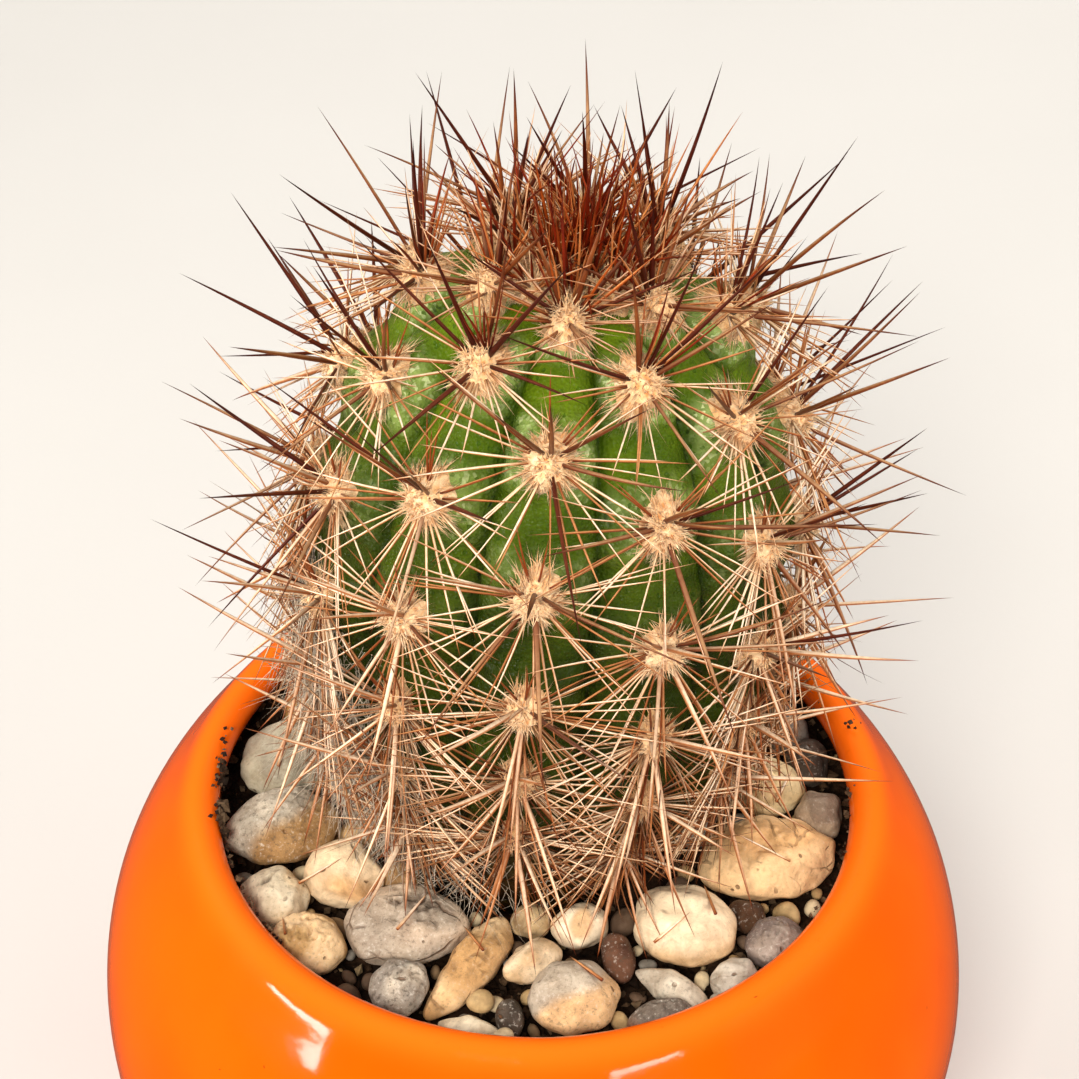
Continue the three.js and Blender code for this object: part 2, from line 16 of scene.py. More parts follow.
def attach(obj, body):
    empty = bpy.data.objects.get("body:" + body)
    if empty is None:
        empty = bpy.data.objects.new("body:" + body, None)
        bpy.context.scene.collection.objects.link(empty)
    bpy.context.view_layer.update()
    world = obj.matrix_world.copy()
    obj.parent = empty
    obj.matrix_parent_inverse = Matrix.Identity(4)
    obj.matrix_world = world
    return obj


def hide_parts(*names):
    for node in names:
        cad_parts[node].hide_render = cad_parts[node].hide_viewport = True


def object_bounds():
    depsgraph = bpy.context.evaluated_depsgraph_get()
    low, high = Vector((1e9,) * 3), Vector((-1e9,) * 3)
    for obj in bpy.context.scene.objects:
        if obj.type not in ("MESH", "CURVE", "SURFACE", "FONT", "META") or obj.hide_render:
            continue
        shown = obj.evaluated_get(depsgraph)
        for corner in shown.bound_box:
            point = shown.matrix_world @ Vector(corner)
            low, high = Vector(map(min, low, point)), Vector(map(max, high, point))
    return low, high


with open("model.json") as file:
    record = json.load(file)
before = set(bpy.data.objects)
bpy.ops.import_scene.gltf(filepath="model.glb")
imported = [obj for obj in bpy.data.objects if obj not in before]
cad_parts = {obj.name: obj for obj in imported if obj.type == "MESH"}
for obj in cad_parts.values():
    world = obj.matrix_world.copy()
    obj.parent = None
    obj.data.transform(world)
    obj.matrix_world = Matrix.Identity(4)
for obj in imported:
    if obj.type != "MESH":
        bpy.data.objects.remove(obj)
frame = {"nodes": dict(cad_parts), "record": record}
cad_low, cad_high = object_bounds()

MM = 0.001

# ---- View and light ----
# A plain pale floor under the pot and soft studio light: a broad key lamp from the front upper
# left, broad fills at both sides with rim lamps behind them, one at the back, and two narrow
# strips that the glaze mirrors.

CAMERA_PLACE = (0, -213.5, 293.9)
CAMERA_TURN = (49.75, -0.48, 0.34)  # degrees about X, Y and Z
CAMERA_LENS = 83.4
CAMERA_SENSOR = 36

camera_data = bpy.data.cameras.new("camera")
camera_data.lens = CAMERA_LENS
camera_data.sensor_width = CAMERA_SENSOR
camera_data.clip_start = 0.01
camera = bpy.data.objects.new("camera", camera_data)
camera.location = Vector(CAMERA_PLACE) * MM
camera.rotation_euler = [math.radians(angle) for angle in CAMERA_TURN]
bpy.context.scene.collection.objects.link(camera)
bpy.context.scene.camera = camera
bpy.context.scene.view_settings.view_transform = "Standard"


def area_lamp(name, place, size, power, tint, mirrored=False):
    """A rectangular lamp turned to the plant; size is its width and height. One that isn't
    mirrored lights the glaze without showing in it."""
    lamp = bpy.data.lights.new(name, "AREA")
    lamp.shape = "RECTANGLE"
    lamp.size = size[0] * MM
    lamp.size_y = size[1] * MM
    lamp.energy = power
    lamp.color = tint
    holder = bpy.data.objects.new(name, lamp)
    holder.location = Vector(place) * MM
    towards = Vector(LAMP_AIM) - Vector(place)
    holder.rotation_euler = towards.to_track_quat("-Z", "Y").to_euler()
    holder.visible_glossy = mirrored
    bpy.context.scene.collection.objects.link(holder)


LAMP_AIM = (0, 0, 85)
KEY_TINT = (1, 0.97, 0.93)
FILL_TINT = (1, 0.96, 0.91)
BACK_TINT = (1, 0.98, 0.96)
STUDIO_TINT = (1, 0.98, 0.95)

area_lamp("key_lamp", (-130, -540, 620), (210, 210), 6.1, KEY_TINT)
area_lamp("left_lamp", (-645, -325, 205), (270, 44), 1.3, STUDIO_TINT, mirrored=True)
area_lamp("right_lamp", (365, -621, 270), (230, 36), 0.6, BACK_TINT, mirrored=True)
area_lamp("left_fill", (-620, -230, 260), (450, 350), 2.4, FILL_TINT)
area_lamp("right_fill", (620, -230, 260), (450, 350), 2.2, FILL_TINT)
area_lamp("left_rim", (-560, 220, 460), (350, 350), 1.5, KEY_TINT)
area_lamp("right_rim", (560, 220, 460), (350, 350), 1.2, KEY_TINT)
area_lamp("back_lamp", (150, 600, 520), (500, 400), 2.8, BACK_TINT)

STUDIO_GLOW = 0.38
MIRRORED_GLOW = 0.1  # what the glaze shows of the studio, as if dark cloths hung round it
BACKDROP_GLOW = 0.8  # what is seen of it beyond the floor


def light_studio():
    world = bpy.data.worlds.new("studio")
    world.use_nodes = True
    nodes, links = world.node_tree.nodes, world.node_tree.links
    nodes["Background"].inputs["Color"].default_value = (*STUDIO_TINT, 1)
    rays = nodes.new("ShaderNodeLightPath")
    glow = nodes.new("ShaderNodeMapRange")
    glow.inputs["To Min"].default_value = STUDIO_GLOW
    glow.inputs["To Max"].default_value = MIRRORED_GLOW
    links.new(rays.outputs["Is Glossy Ray"], glow.inputs["Value"])
    seen = nodes.new("ShaderNodeMapRange")
    seen.inputs["To Max"].default_value = BACKDROP_GLOW
    links.new(rays.outputs["Is Camera Ray"], seen.inputs["Value"])
    links.new(glow.outputs["Result"], seen.inputs["To Min"])
    links.new(seen.outputs["Result"], nodes["Background"].inputs["Strength"])
    bpy.context.scene.world = world


light_studio()


def paint(code):
    """The colour of a six-digit code as a painter reads it, as linear red, green and blue."""
    parts = [int(code[i : i + 2], 16) / 255 for i in (0, 2, 4)]
    return np.array([((part + 0.055) / 1.055) ** 2.4 if part > 0.04 else part / 12.9 for part in parts])


class Finish:
    """A material in the making: its shader, and short ways to add the nodes that feed it."""

    def __init__(self, name):
        self.material = bpy.data.materials.new(name)
        self.material.use_nodes = True
        self.tree = self.material.node_tree
        self.shader = self.tree.nodes["Principled BSDF"]

    def add(self, kind, inputs, **settings):
        """A node with its settings made, and each input set to a value or linked to a socket."""
        node = self.tree.nodes.new(kind)
        for key, value in settings.items():
            setattr(node, key, value)
        self.feed(node, inputs)
        return node

    def feed(self, node, inputs):
        """Links an input to a socket, or sets it to a value or to the colour of a code."""
        for key, value in inputs.items():
            if isinstance(value, bpy.types.NodeSocket):
                self.tree.links.new(value, node.inputs[key])
            else:
                colour_code = isinstance(value, str)
                node.inputs[key].default_value = (*paint(value), 1) if colour_code else value

    def place(self):
        return self.add("ShaderNodeTexCoord", {}).outputs["Object"]

    def mark(self, name):
        """A value that the mesh carries at each point."""
        return self.add("ShaderNodeAttribute", {}, attribute_name=name).outputs["Fac"]

    def tint(self):
        """The colour that the mesh carries at each point."""
        return self.add("ShaderNodeAttribute", {}, attribute_name="tint").outputs["Color"]

    def noise(self, size, detail=4.0, roughness=0.55, distortion=0.0):
        """Cloudy noise from 0 to 1 whose coarsest features are about size across."""
        inputs = {"Vector": self.place(), "Scale": 1 / (size * MM), "Detail": detail}
        inputs.update({"Roughness": roughness, "Distortion": distortion})
        return self.add("ShaderNodeTexNoise", inputs).outputs["Fac"]

    def cells(self, size, output="Distance", feature="F1", wobble=0.0):
        """Cells about size across: the distance in them, or a grey of each cell's own."""
        vector = self.place()
        if wobble:
            noise = self.add("ShaderNodeTexNoise", {"Vector": vector, "Scale": 0.7 / (size * MM)})
            shift = self.add(
                "ShaderNodeVectorMath", {0: noise.outputs["Color"], 3: wobble * MM}, operation="SCALE"
            )
            vector = self.add(
                "ShaderNodeVectorMath", {0: vector, 1: shift.outputs[0]}, operation="ADD"
            ).outputs[0]
        inputs = {"Vector": vector, "Scale": 1 / (size * MM)}
        return self.add("ShaderNodeTexVoronoi", inputs, feature=feature).outputs[output]

    def maths(self, operation, a, b):
        return self.add("ShaderNodeMath", {0: a, 1: b}, operation=operation).outputs[0]

    def times(self, a, b):
        return self.maths("MULTIPLY", a, b)

    def spread(self, value, low, high, to_low=0.0, to_high=1.0):
        """Stretches the stretch of a value between low and high, clamped, to another range."""
        inputs = {"Value": value, "From Min": low, "From Max": high}
        inputs.update({"To Min": to_low, "To Max": to_high})
        node = self.add("ShaderNodeMapRange", inputs, interpolation_type="SMOOTHSTEP")
        return node.outputs["Result"]

    def mix(self, share, a, b, way="MIX"):
        """Colour a turned into b by a share from 0 to 1."""
        node = self.add("ShaderNodeMix", {0: share, 6: a, 7: b}, data_type="RGBA", blend_type=way)
        return node.outputs[2]

    def shaded(self, colour, shade):
        """A colour multiplied by a shade."""
        return self.mix(1.0, colour, shade, "MULTIPLY")

    def mottled(self, value, low, high, dark, light):
        """The mesh's own colour, from a dark to a light shade of it as a value runs from low to
        high."""
        shade = self.mix(self.spread(value, low, high), (*dark, 1), (*light, 1))
        return self.shaded(self.tint(), shade)

    def bump(self, height, depth, strength=1.0, under=None):
        """The normal of a relief whose height runs over a depth in millimetres."""
        inputs = {"Height": height, "Distance": depth * MM, "Strength": strength}
        if under is not None:
            inputs["Normal"] = under
        return self.add("ShaderNodeBump", inputs).outputs["Normal"]

    def finish(self, **inputs):
        """Feeds the shader: underscores in the names stand for spaces."""
        self.feed(self.shader, {key.replace("_", " "): value for key, value in inputs.items()})
        return self.material


FLOOR_WIDTH = 6000
FLOOR_GLOW = 0.6
FLOOR_GLOW_START = 500  # how far from the pot the glow begins
FLOOR_GLOW_FULL = 1250


def floor_finish():
    """Pale paper, lit up by itself far from the pot, where no lamp reaches it."""
    finish = Finish("floor_paper")
    away = finish.add("ShaderNodeVectorMath", {0: finish.place()}, operation="LENGTH").outputs["Value"]
    cloud = finish.noise(120, detail=3)
    colour = finish.mix(cloud, "C9C6C1", "C2BFBA")
    grain = finish.bump(finish.noise(1.2, detail=2), 0.05, 0.4)
    glow = finish.spread(away, FLOOR_GLOW_START * MM, FLOOR_GLOW_FULL * MM, 0.0, FLOOR_GLOW)
    return finish.finish(
        Base_Color=colour, Roughness=0.85, Normal=grain,
        Emission_Color=(*STUDIO_TINT, 1), Emission_Strength=glow,
    )


bpy.ops.mesh.primitive_plane_add(size=FLOOR_WIDTH * MM)
floor = bpy.context.object
floor.name = "floor"
floor.data.materials.append(floor_finish())
floor.visible_glossy = False  # the glaze shows the studio and its lamps, as in a light tent

# ---- Ball pot ----
# A thick-walled round bowl of cast stoneware with a broad rolled lip, dipped in a deep orange
# glaze that stops above the bare foot. It stands free on that foot.

POT_RADIUS = 55
POT_EQUATOR = 42
POT_SQUASH = 0.906
POT_WALL = 4.5
POT_FLOOR = 5
LIP_RADIUS = 40.6
LIP_BEAD = 2.5
LIP_HEIGHT = 73
MOUTH_RADIUS = LIP_RADIUS - LIP_BEAD
HEEL = 27.8  # radius of the foot's outer edge
FOOT_WIDTH = 5
FOOT_HOLLOW = 1.1
GLAZE_LINE = 2.2  # where the glaze stops above the floor
ROUND_STEPS = 224
PROFILE_STEP = 0.7
CORNER_ROUNDS = 10  # of smoothing, which round off the profile's corners
GLAZE_INSET = 0.12  # keeps the glaze's waves inside the solid's outline


def ball_radius(height, inset=0.0):
    """Radius of the pot's ball at a height, or of the ball that lies inset inside it."""
    up = POT_SQUASH * POT_RADIUS - inset
    along = (height - POT_EQUATOR) / up
    return (POT_RADIUS - inset) * np.sqrt(np.maximum(0, 1 - along * along))


def inner_radius(height):
    ball = ball_radius(height, POT_WALL)
    return np.where(height > POT_EQUATOR, np.maximum(ball, MOUTH_RADIUS), ball)


def even_steps(line, step):
    """The same line with its points an even step apart."""
    line = np.array(line, float)
    along = np.r_[0, np.cumsum(np.linalg.norm(np.diff(line, axis=0), axis=1))]
    wanted = np.linspace(0, along[-1], int(along[-1] / step) + 1)
    return np.column_stack([np.interp(wanted, along, line[:, i]) for i in range(line.shape[1])])


def pot_profile():
    """Radius and height from the middle of the foot's hollow, up the outside, over the lip, and
    down to the middle of the floor inside."""
    foot = [(0, FOOT_HOLLOW), (HEEL - FOOT_WIDTH - 1, FOOT_HOLLOW), (HEEL - FOOT_WIDTH, 0), (HEEL, 0)]
    outside = [(ball_radius(h), h) for h in np.linspace(1.4, 70.5, 60)]
    bead = [math.radians(angle) for angle in np.linspace(48, 180, 16)]
    lip = [(LIP_RADIUS + LIP_BEAD * math.cos(a), LIP_HEIGHT + LIP_BEAD * math.sin(a)) for a in bead]
    inside = [(float(inner_radius(h)), h) for h in np.linspace(71.5, POT_FLOOR, 50)]
    line = even_steps([*foot, *outside, *lip, *inside, (0, POT_FLOOR)], PROFILE_STEP)
    for _ in range(CORNER_ROUNDS):
        line[1:-1] = (line[:-2] + 2 * line[1:-1] + line[2:]) / 4
    return line


def around(angle, reach, height):
    """Points about the upright axis, at angles from the front, positive to the right."""
    return np.stack([reach * np.sin(angle), -reach * np.cos(angle), height + 0 * angle], axis=-1)


def turned(profile, steps):
    """Points and four-cornered faces of a profile turned round the pot's axis."""
    angles = np.arange(steps) * 2 * math.pi / steps
    points = around(angles, profile[:, :1], profile[:, 1:])
    return points.reshape(-1, 3), grid_faces(len(profile), steps)


def grid_faces(rows, columns):
    """Faces of a grid of points whose columns close into rings, facing out when rows run up."""
    start = np.arange(rows - 1)[:, None] * columns
    here = np.arange(columns)[None, :]
    after = (here + 1) % columns
    corners = [start + here, start + after, start + columns + after, start + columns + here]
    return np.stack(corners, axis=2).reshape(-1, 4)


def lumps(points, size, seed, waves=20):
    """Smooth random lumps about size across, mostly between -2 and 2, from seeded waves."""
    draw = np.random.default_rng(seed)
    directions = draw.normal(size=(waves, 3))
    directions /= np.linalg.norm(directions, axis=1)[:, None]
    phases = draw.uniform(0, 2 * math.pi, waves)
    turns = points @ directions.T * (2 * math.pi / size) + phases
    return np.sin(turns).sum(axis=1) / math.sqrt(waves / 2)


def new_piece(name, points, faces, material, slot, nodes=(), tint=None, **marks):
    """A smooth piece of the object from arrays in millimetres. The marks are values, and tint the
    colours, that its points carry for the material. It stands for the named solids."""
    mesh = bpy.data.meshes.new(name)
    mesh.vertices.add(len(points))
    mesh.vertices.foreach_set("co", (np.asarray(points) * MM).astype(np.float32).ravel())
    mesh.loops.add(faces.size)
    mesh.loops.foreach_set("vertex_index", faces.astype(np.int32).ravel())
    mesh.polygons.add(len(faces))
    starts = np.arange(0, faces.size, faces.shape[1], dtype=np.int32)
    mesh.polygons.foreach_set("loop_start", starts)
    mesh.update(calc_edges=True)
    for key, values in marks.items():
        layer = mesh.attributes.new(key, "FLOAT", "POINT")
        layer.data.foreach_set("value", np.asarray(values, np.float32))
    if tint is not None:
        layer = mesh.attributes.new("tint", "FLOAT_COLOR", "POINT")
        whole = np.column_stack([tint, np.ones(len(points))])
        layer.data.foreach_set("color", whole.astype(np.float32).ravel())
    mesh.shade_smooth()
    mesh.materials.append(material)
    piece = bpy.data.objects.new(name, mesh)
    bpy.context.scene.collection.objects.link(piece)
    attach(piece, "root")
    if nodes:
        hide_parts(*nodes)
    return piece


def weld(piece):
    """Joins the points that lie on each other, as at the ends of a turned profile."""
    form = bmesh.new()
    form.from_mesh(piece.data)
    bmesh.ops.remove_doubles(form, verts=form.verts, dist=0.001 * MM)
    form.to_mesh(piece.data)
    form.free()


def glaze_finish():
    """Orange glaze: deep and glossy, lighter over the lip, where it thins and where a highlight is
    painted, with faint waves, flecks and pinholes, brown with soil inside the mouth, and bare clay
    below the glaze line."""
    finish = Finish("orange_glaze")
    cloud = finish.noise(26, detail=3)
    fleck = finish.noise(1.6, detail=5, roughness=0.7)
    colour = finish.mix(finish.spread(cloud, 0.35, 0.7), "DC5100", "DE5901")
    # Lighter over the lip: thinner glaze there, and a painted highlight.
    colour = finish.mix(finish.mark("thin"), colour, "F86A12")
    deep = finish.times(finish.spread(fleck, 0.62, 0.75), 0.25)
    colour = finish.mix(deep, colour, "C24A00")
    smear = finish.times(finish.mark("soiled"), finish.spread(fleck, 0.42, 0.6))
    colour = finish.mix(smear, colour, "4A1E0A")
    pinhole = finish.spread(finish.cells(4.5, wobble=6), 0.02, 0.045, 1.0, 0.0)
    pinhole = finish.times(pinhole, finish.spread(finish.noise(17, detail=1), 0.5, 0.6))
    colour = finish.mix(finish.times(pinhole, 0.8), colour, "6B2A05")
    bare = finish.mark("bare")
    clay = finish.mix(fleck, "D9B48C", "B98F66")
    colour = finish.mix(bare, colour, clay)
    gloss = finish.maths("ADD", finish.times(smear, 0.5), 0.07)
    rough = finish.maths("MAXIMUM", gloss, finish.times(bare, 0.85))
    waves = finish.bump(finish.noise(11, detail=2), 0.3, 0.12)
    waves = finish.bump(finish.noise(4, detail=2), 0.1, 0.25, under=waves)
    peel = finish.bump(finish.noise(1.3, detail=3), 0.02, 0.4, under=waves)
    return finish.finish(Base_Color=colour, Roughness=rough, Normal=peel, Specular_IOR_Level=0.25)


def smooth_between(values, low, high):
    share = np.clip((values - low) / (high - low), 0, 1)
    return share * share * (3 - 2 * share)


def make_pot():
    points, faces = turned(pot_profile(), ROUND_STEPS)
    radius = np.hypot(points[:, 0], points[:, 1])
    height = points[:, 2]
    wobble = 0.1 * lumps(points, 60, 3)
    inward = 1 - (GLAZE_INSET + np.abs(wobble)) / np.maximum(radius, 5) * smooth_between(radius, 5, 20)
    points[:, :2] *= inward[:, None]
    # The lip's bead, where the glaze is painted lighter: thinner glaze and a painted highlight.
    lip_thin_and_highlight = np.exp(-(((radius - LIP_RADIUS) / 3) ** 2)) * smooth_between(height, 71, 75)
    inside = (radius < LIP_RADIUS) & (height > 40)
    left = smooth_between(-points[:, 0], -10, 35)
    soiled = np.where(inside, smooth_between(74.2 - height, 0, 5) * (0.45 + 0.45 * left), 0)
    line = GLAZE_LINE + 0.35 * lumps(points, 12, 5)
    bare = np.where(radius > HEEL - FOOT_WIDTH - 2, smooth_between(line - height, -0.2, 0.2), 1)
    bare = np.where(height > 4, 0, bare)
    piece = new_piece(
        "glazed_pot", points, faces, glaze_finish(), "pot_glaze", ["pot"],
        thin=lip_thin_and_highlight, soiled=soiled, bare=bare,
    )
    weld(piece)


make_pot()

# ---- Soil ----
# Dark, gritty potting soil that fills the pot to below its lip, with a hole where the stem
# stands. Loose grit lies on it and between the stones, and a few crumbs stick to the lip.

SOIL_TOP = 66
SOIL_GAP = 0.35
SOIL_STEPS = 144  # round the pot
STEM_FOOT = np.array([-1.1, 4.4, 62.2])
HOLE_RADIUS = 18
HOLE_DEPTH = 17.5
HOLE_FLOOR_RADIUS = 4


def soil_finish():
    finish = Finish("gritty_soil")
    clod = finish.noise(3.5, detail=6, roughness=0.7)
    colour = finish.mix(finish.spread(clod, 0.35, 0.7), "17100B", "3A281B")
    bit = finish.cells(0.8, output="Color")
    pale = finish.spread(bit, 0.86, 0.93)
    colour = finish.mix(pale, colour, "7A6249")
    relief = finish.bump(clod, 0.8)
    relief = finish.bump(finish.cells(0.8), 0.3, under=relief)
    return finish.finish(Base_Color=colour, Roughness=0.95, Normal=relief)


def make_soil():
    """The filling: up the wall of the stem's hole, out over the top, and down inside the pot."""
    turn = np.arange(SOIL_STEPS) * 2 * math.pi / SOIL_STEPS
    unit = around(turn, 1, 0)[:, :2]
    middle = STEM_FOOT[:2]
    hole = middle + HOLE_RADIUS * unit
    wall = (inner_radius(SOIL_TOP) - SOIL_GAP) * unit
    narrowest = HOLE_FLOOR_RADIUS / HOLE_RADIUS

    def ring(flat, height):
        return np.column_stack([flat, 0 * turn + height])

    rings = [ring(middle + 0 * unit, SOIL_TOP - HOLE_DEPTH)]
    for share in np.linspace(0, 1, 9):
        width = narrowest + (1 - narrowest) * share
        rings.append(ring(middle + width * (hole - middle), SOIL_TOP - HOLE_DEPTH * (1 - share)))
    for share in np.linspace(0, 1, 60)[1:]:
        rings.append(ring(hole + share * (wall - hole), SOIL_TOP))
    for height in np.linspace(SOIL_TOP, POT_FLOOR + SOIL_GAP, 24)[1:]:
        rings.append(ring((float(inner_radius(height)) - SOIL_GAP) * unit, height))
    rings.append(ring(0 * unit, POT_FLOOR + SOIL_GAP))
    points = np.concatenate(rings)
    faces = grid_faces(len(rings), SOIL_STEPS)[:, ::-1]
    on_top = points[:, 2] > SOIL_TOP - 0.01
    relief = 0.35 * lumps(points, 7, 21) + 0.2 * lumps(points, 2.4, 22)
    points[:, 2] += np.where(on_top, np.clip(relief, -1, 0.3) - 0.35, 0)
    piece = new_piece("potting_soil", points, faces, soil_finish(), "soil", ["soil"])
    weld(piece)
    return piece


soil = make_soil()

BIT_CORNERS = np.array([[1, 0, 0], [-1, 0, 0], [0, 1, 0], [0, -1, 0], [0, 0, 1], [0, 0, -1]], float)
BIT_FACES = np.array(
    [[0, 2, 4], [2, 1, 4], [1, 3, 4], [3, 0, 4], [2, 0, 5], [1, 2, 5], [3, 1, 5], [0, 3, 5]]
)


def random_turns(draw, count):
    """Random rotations, as matrices."""
    first = draw.normal(size=(count, 3))
    first /= np.linalg.norm(first, axis=1)[:, None]
    second = np.cross(first, draw.normal(size=(count, 3)))
    second /= np.linalg.norm(second, axis=1)[:, None]
    return np.stack([first, second, np.cross(first, second)], axis=1)


def make_bits(name, centres, sizes, tints, material, slot, seed):
    """Small angular bits in one mesh, each with its own turn, shape and colour."""
    draw = np.random.default_rng(seed)
    count = len(centres)
    shapes = BIT_CORNERS[None] * draw.uniform(0.55, 1.15, size=(count, 6, 1))
    shapes = shapes * draw.uniform(0.6, 1.2, size=(count, 1, 3)) * sizes[:, None, None] / 2
    points = np.einsum("nij,njk->nik", shapes, random_turns(draw, count)) + centres[:, None]
    faces = BIT_FACES[None] + 6 * np.arange(count)[:, None, None]
    colours = np.repeat(tints, 6, axis=0)
    piece = new_piece(name, points.reshape(-1, 3), faces.reshape(-1, 3), material, slot, tint=colours)
    piece.data.shade_flat()


def grit_finish():
    finish = Finish("loose_grit")
    grain = finish.noise(0.7, detail=5, roughness=0.7)
    colour = finish.mottled(grain, 0.3, 0.75, (0.45, 0.42, 0.4), (1.2, 1.15, 1.1))
    return finish.finish(Base_Color=colour, Roughness=0.85, Normal=finish.bump(grain, 0.15))


GRIT_CODES = ("1E1610", "2B2018", "3C2D20", "54412F", "6E5A44", "94805F")
GRIT_COLOURS = np.array([paint(code) for code in GRIT_CODES])
GRIT_SHARES = [0.2, 0.24, 0.22, 0.18, 0.11, 0.05]
GRIT_COUNT = 2600
SMALLEST_GRIT = 0.5
GRIT_SPREAD = 1.9
grit_material = grit_finish()


def make_grit():
    draw = np.random.default_rng(31)
    angle = draw.uniform(0, 2 * math.pi, GRIT_COUNT)
    reach = np.sqrt(draw.uniform(0.18, 1, GRIT_COUNT)) * (inner_radius(SOIL_TOP) - 1)
    size = SMALLEST_GRIT + GRIT_SPREAD * draw.random(GRIT_COUNT) ** 2
    centres = around(angle, reach, SOIL_TOP - 0.4 + 0.35 * size)
    tints = GRIT_COLOURS[draw.choice(len(GRIT_COLOURS), GRIT_COUNT, p=GRIT_SHARES)]
    on_soil = np.hypot(*(centres[:, :2] - STEM_FOOT[:2]).T) > HOLE_RADIUS
    make_bits("loose_grit", centres[on_soil], size[on_soil], tints[on_soil], grit_material, "soil", 32)


make_grit()

# Crumbs on the lip, most of them along its inner edge at the left: angle from the front in
# degrees, positive to the right, the turn round the lip's bead, and the size.
LIP_CRUMBS = [
    (-93, 150, 1.1), (-96, 140, 0.7), (-90, 158, 1.2), (-84, 162, 1.4), (-81, 158, 1.3), (-99, 120, 0.6),
    (-78, 166, 1.1), (-72, 172, 0.6), (-66, 170, 0.7), (-60, 175, 0.6), (-53, 172, 0.8), (-50, 176, 0.5),
    (58, 172, 0.7), (74, 165, 0.8), (83, 160, 1.0), (88, 150, 0.7), (104, 90, 0.8), (112, 170, 0.6),
    (150, 160, 0.9), (170, 150, 0.6), (-150, 165, 0.8), (-128, 158, 1.0),
]

# The finer crumbs near each one: how many, how wide they scatter over the lip and round its bead,
# and their smallest size and its range. The first lot lies only near the large ones.
CRUMB_DUST = [(16, (0.9, 13), 0.25, 0.6), (6, (2.2, 14), 0.15, 0.4)]
LOWEST_CRUMB = 185  # the furthest turn round the bead


def make_lip_crumbs():
    """The listed crumbs, each with a few finer ones strewn near it."""
    draw = np.random.default_rng(41)
    rows = []
    for turn, round_bead, size in LIP_CRUMBS:
        rows.append((turn, round_bead, size))
        for count, scatter, smallest, spread in CRUMB_DUST if size > 1 else CRUMB_DUST[1:]:
            for _ in range(count):
                away = draw.normal(size=2) * scatter
                low = min(round_bead + away[1], LOWEST_CRUMB)
                rows.append((turn + away[0], low, smallest + spread * draw.random()))
    turn, round_bead, size = np.array(rows).T
    bead = LIP_BEAD + 0.1 * size
    reach = LIP_RADIUS - 0.15 + bead * np.cos(np.radians(round_bead))
    height = LIP_HEIGHT + bead * np.sin(np.radians(round_bead))
    centres = around(np.radians(turn), reach, height)
    tints = GRIT_COLOURS[draw.integers(1, 5, len(rows))]
    make_bits("lip_crumbs", centres, size * 1.5, tints, grit_material, "soil", 42)


make_lip_crumbs()

# ---- River pebbles ----
# Worn stones of several kinds, laid loose on the soil round the stem. Each is a finer and slightly
# fuller copy of its solid, rounded and worn flat in places, with its own colours and hollows.

# For the stones that lie in front, by number: the main and second colour, how far it turns to the
# second one, how grainy, how cracked and how rough it is.
PEBBLES = {
    1: ("A39A86", "BFB49A", 0.3, 0.2, 0.0, 0.5),
    2: ("BBAF9C", "A98456", 0.5, 0.7, 0.1, 0.42),
    3: ("F2D7B0", "DFB27E", 0.25, 0.05, 0.5, 0.36),
    4: ("CFA873", "A5855B", 0.4, 0.2, 0.2, 0.5),
    5: ("D6AE78", "B28C5E", 0.4, 0.1, 0.1, 0.5),
    6: ("E0D2B6", "CBB491", 0.4, 0.3, 0.1, 0.5),
    7: ("E6C496", "C09A66", 0.5, 0.3, 0.3, 0.42),
    8: ("DEC4A8", "B5A694", 0.5, 0.6, 0.6, 0.5),
    9: ("CFC3B0", "9F968A", 0.6, 0.8, 0.2, 0.5),
    10: ("EBC899", "CDA06A", 0.45, 0.3, 0.5, 0.48),
    11: ("F0E2C4", "DDB986", 0.2, 0.05, 0.2, 0.4),
    12: ("CDB084", "AA906B", 0.4, 0.2, 0.1, 0.5),
    13: ("F0D6B2", "D6B48A", 0.4, 0.2, 0.3, 0.4),
    14: ("F2DDBE", "E4BC8E", 0.3, 0.05, 0.1, 0.36),
    15: ("BDAE9A", "E2B988", 0.5, 0.5, 0.2, 0.42),
    16: ("5B5046", "3E362F", 0.5, 0.8, 0.3, 0.6),
    17: ("6B4836", "4A2F24", 0.5, 0.6, 0.2, 0.65),
    18: ("D9CDB8", "B3A797", 0.4, 0.4, 0.2, 0.5),
    19: ("7F756A", "8E6248", 0.4, 0.8, 0.1, 0.6),
    20: ("F0D9B6", "E6C496", 0.3, 0.05, 0.1, 0.34),
    21: ("CFC7B8", "A79C8C", 0.3, 0.3, 0.2, 0.45),
    22: ("7E6F68", "A39488", 0.4, 0.5, 0.1, 0.5),
    23: ("5A3F2D", "3F2C20", 0.4, 0.5, 0.1, 0.6),
    24: ("F4CC98", "DDAE78", 0.45, 0.1, 0.45, 0.4),
    25: ("F0D8A8", "E2C28E", 0.3, 0.05, 0.1, 0.38),
    26: ("C4A270", "A98658", 0.4, 0.1, 0.2, 0.45),
    27: ("8E7A68", "A8927A", 0.4, 0.3, 0.1, 0.42),
    28: ("4A4038", "5F5348", 0.4, 0.5, 0.1, 0.6),
    29: ("A39A92", "C2B6A6", 0.4, 0.2, 0.1, 0.4),
    30: ("D4B27A", "B08D5A", 0.4, 0.2, 0.2, 0.45),
    31: ("BE9A69", "A08157", 0.4, 0.2, 0.2, 0.5),
}
# The same for the stones at the back, by kind.
STONE_KINDS = {
    "stone_grey": ("98907F", "7E776A", 0.5, 0.5, 0.2, 0.5),
    "stone_cream": ("E0CDA4", "CBAE80", 0.4, 0.1, 0.2, 0.4),
    "stone_tan": ("BD9B6A", "9F7F55", 0.4, 0.2, 0.2, 0.45),
    "stone_yellow": ("D6AE6C", "BB8D4E", 0.4, 0.2, 0.3, 0.45),
    "stone_brown": ("66503F", "4A392D", 0.4, 0.5, 0.1, 0.55),
}
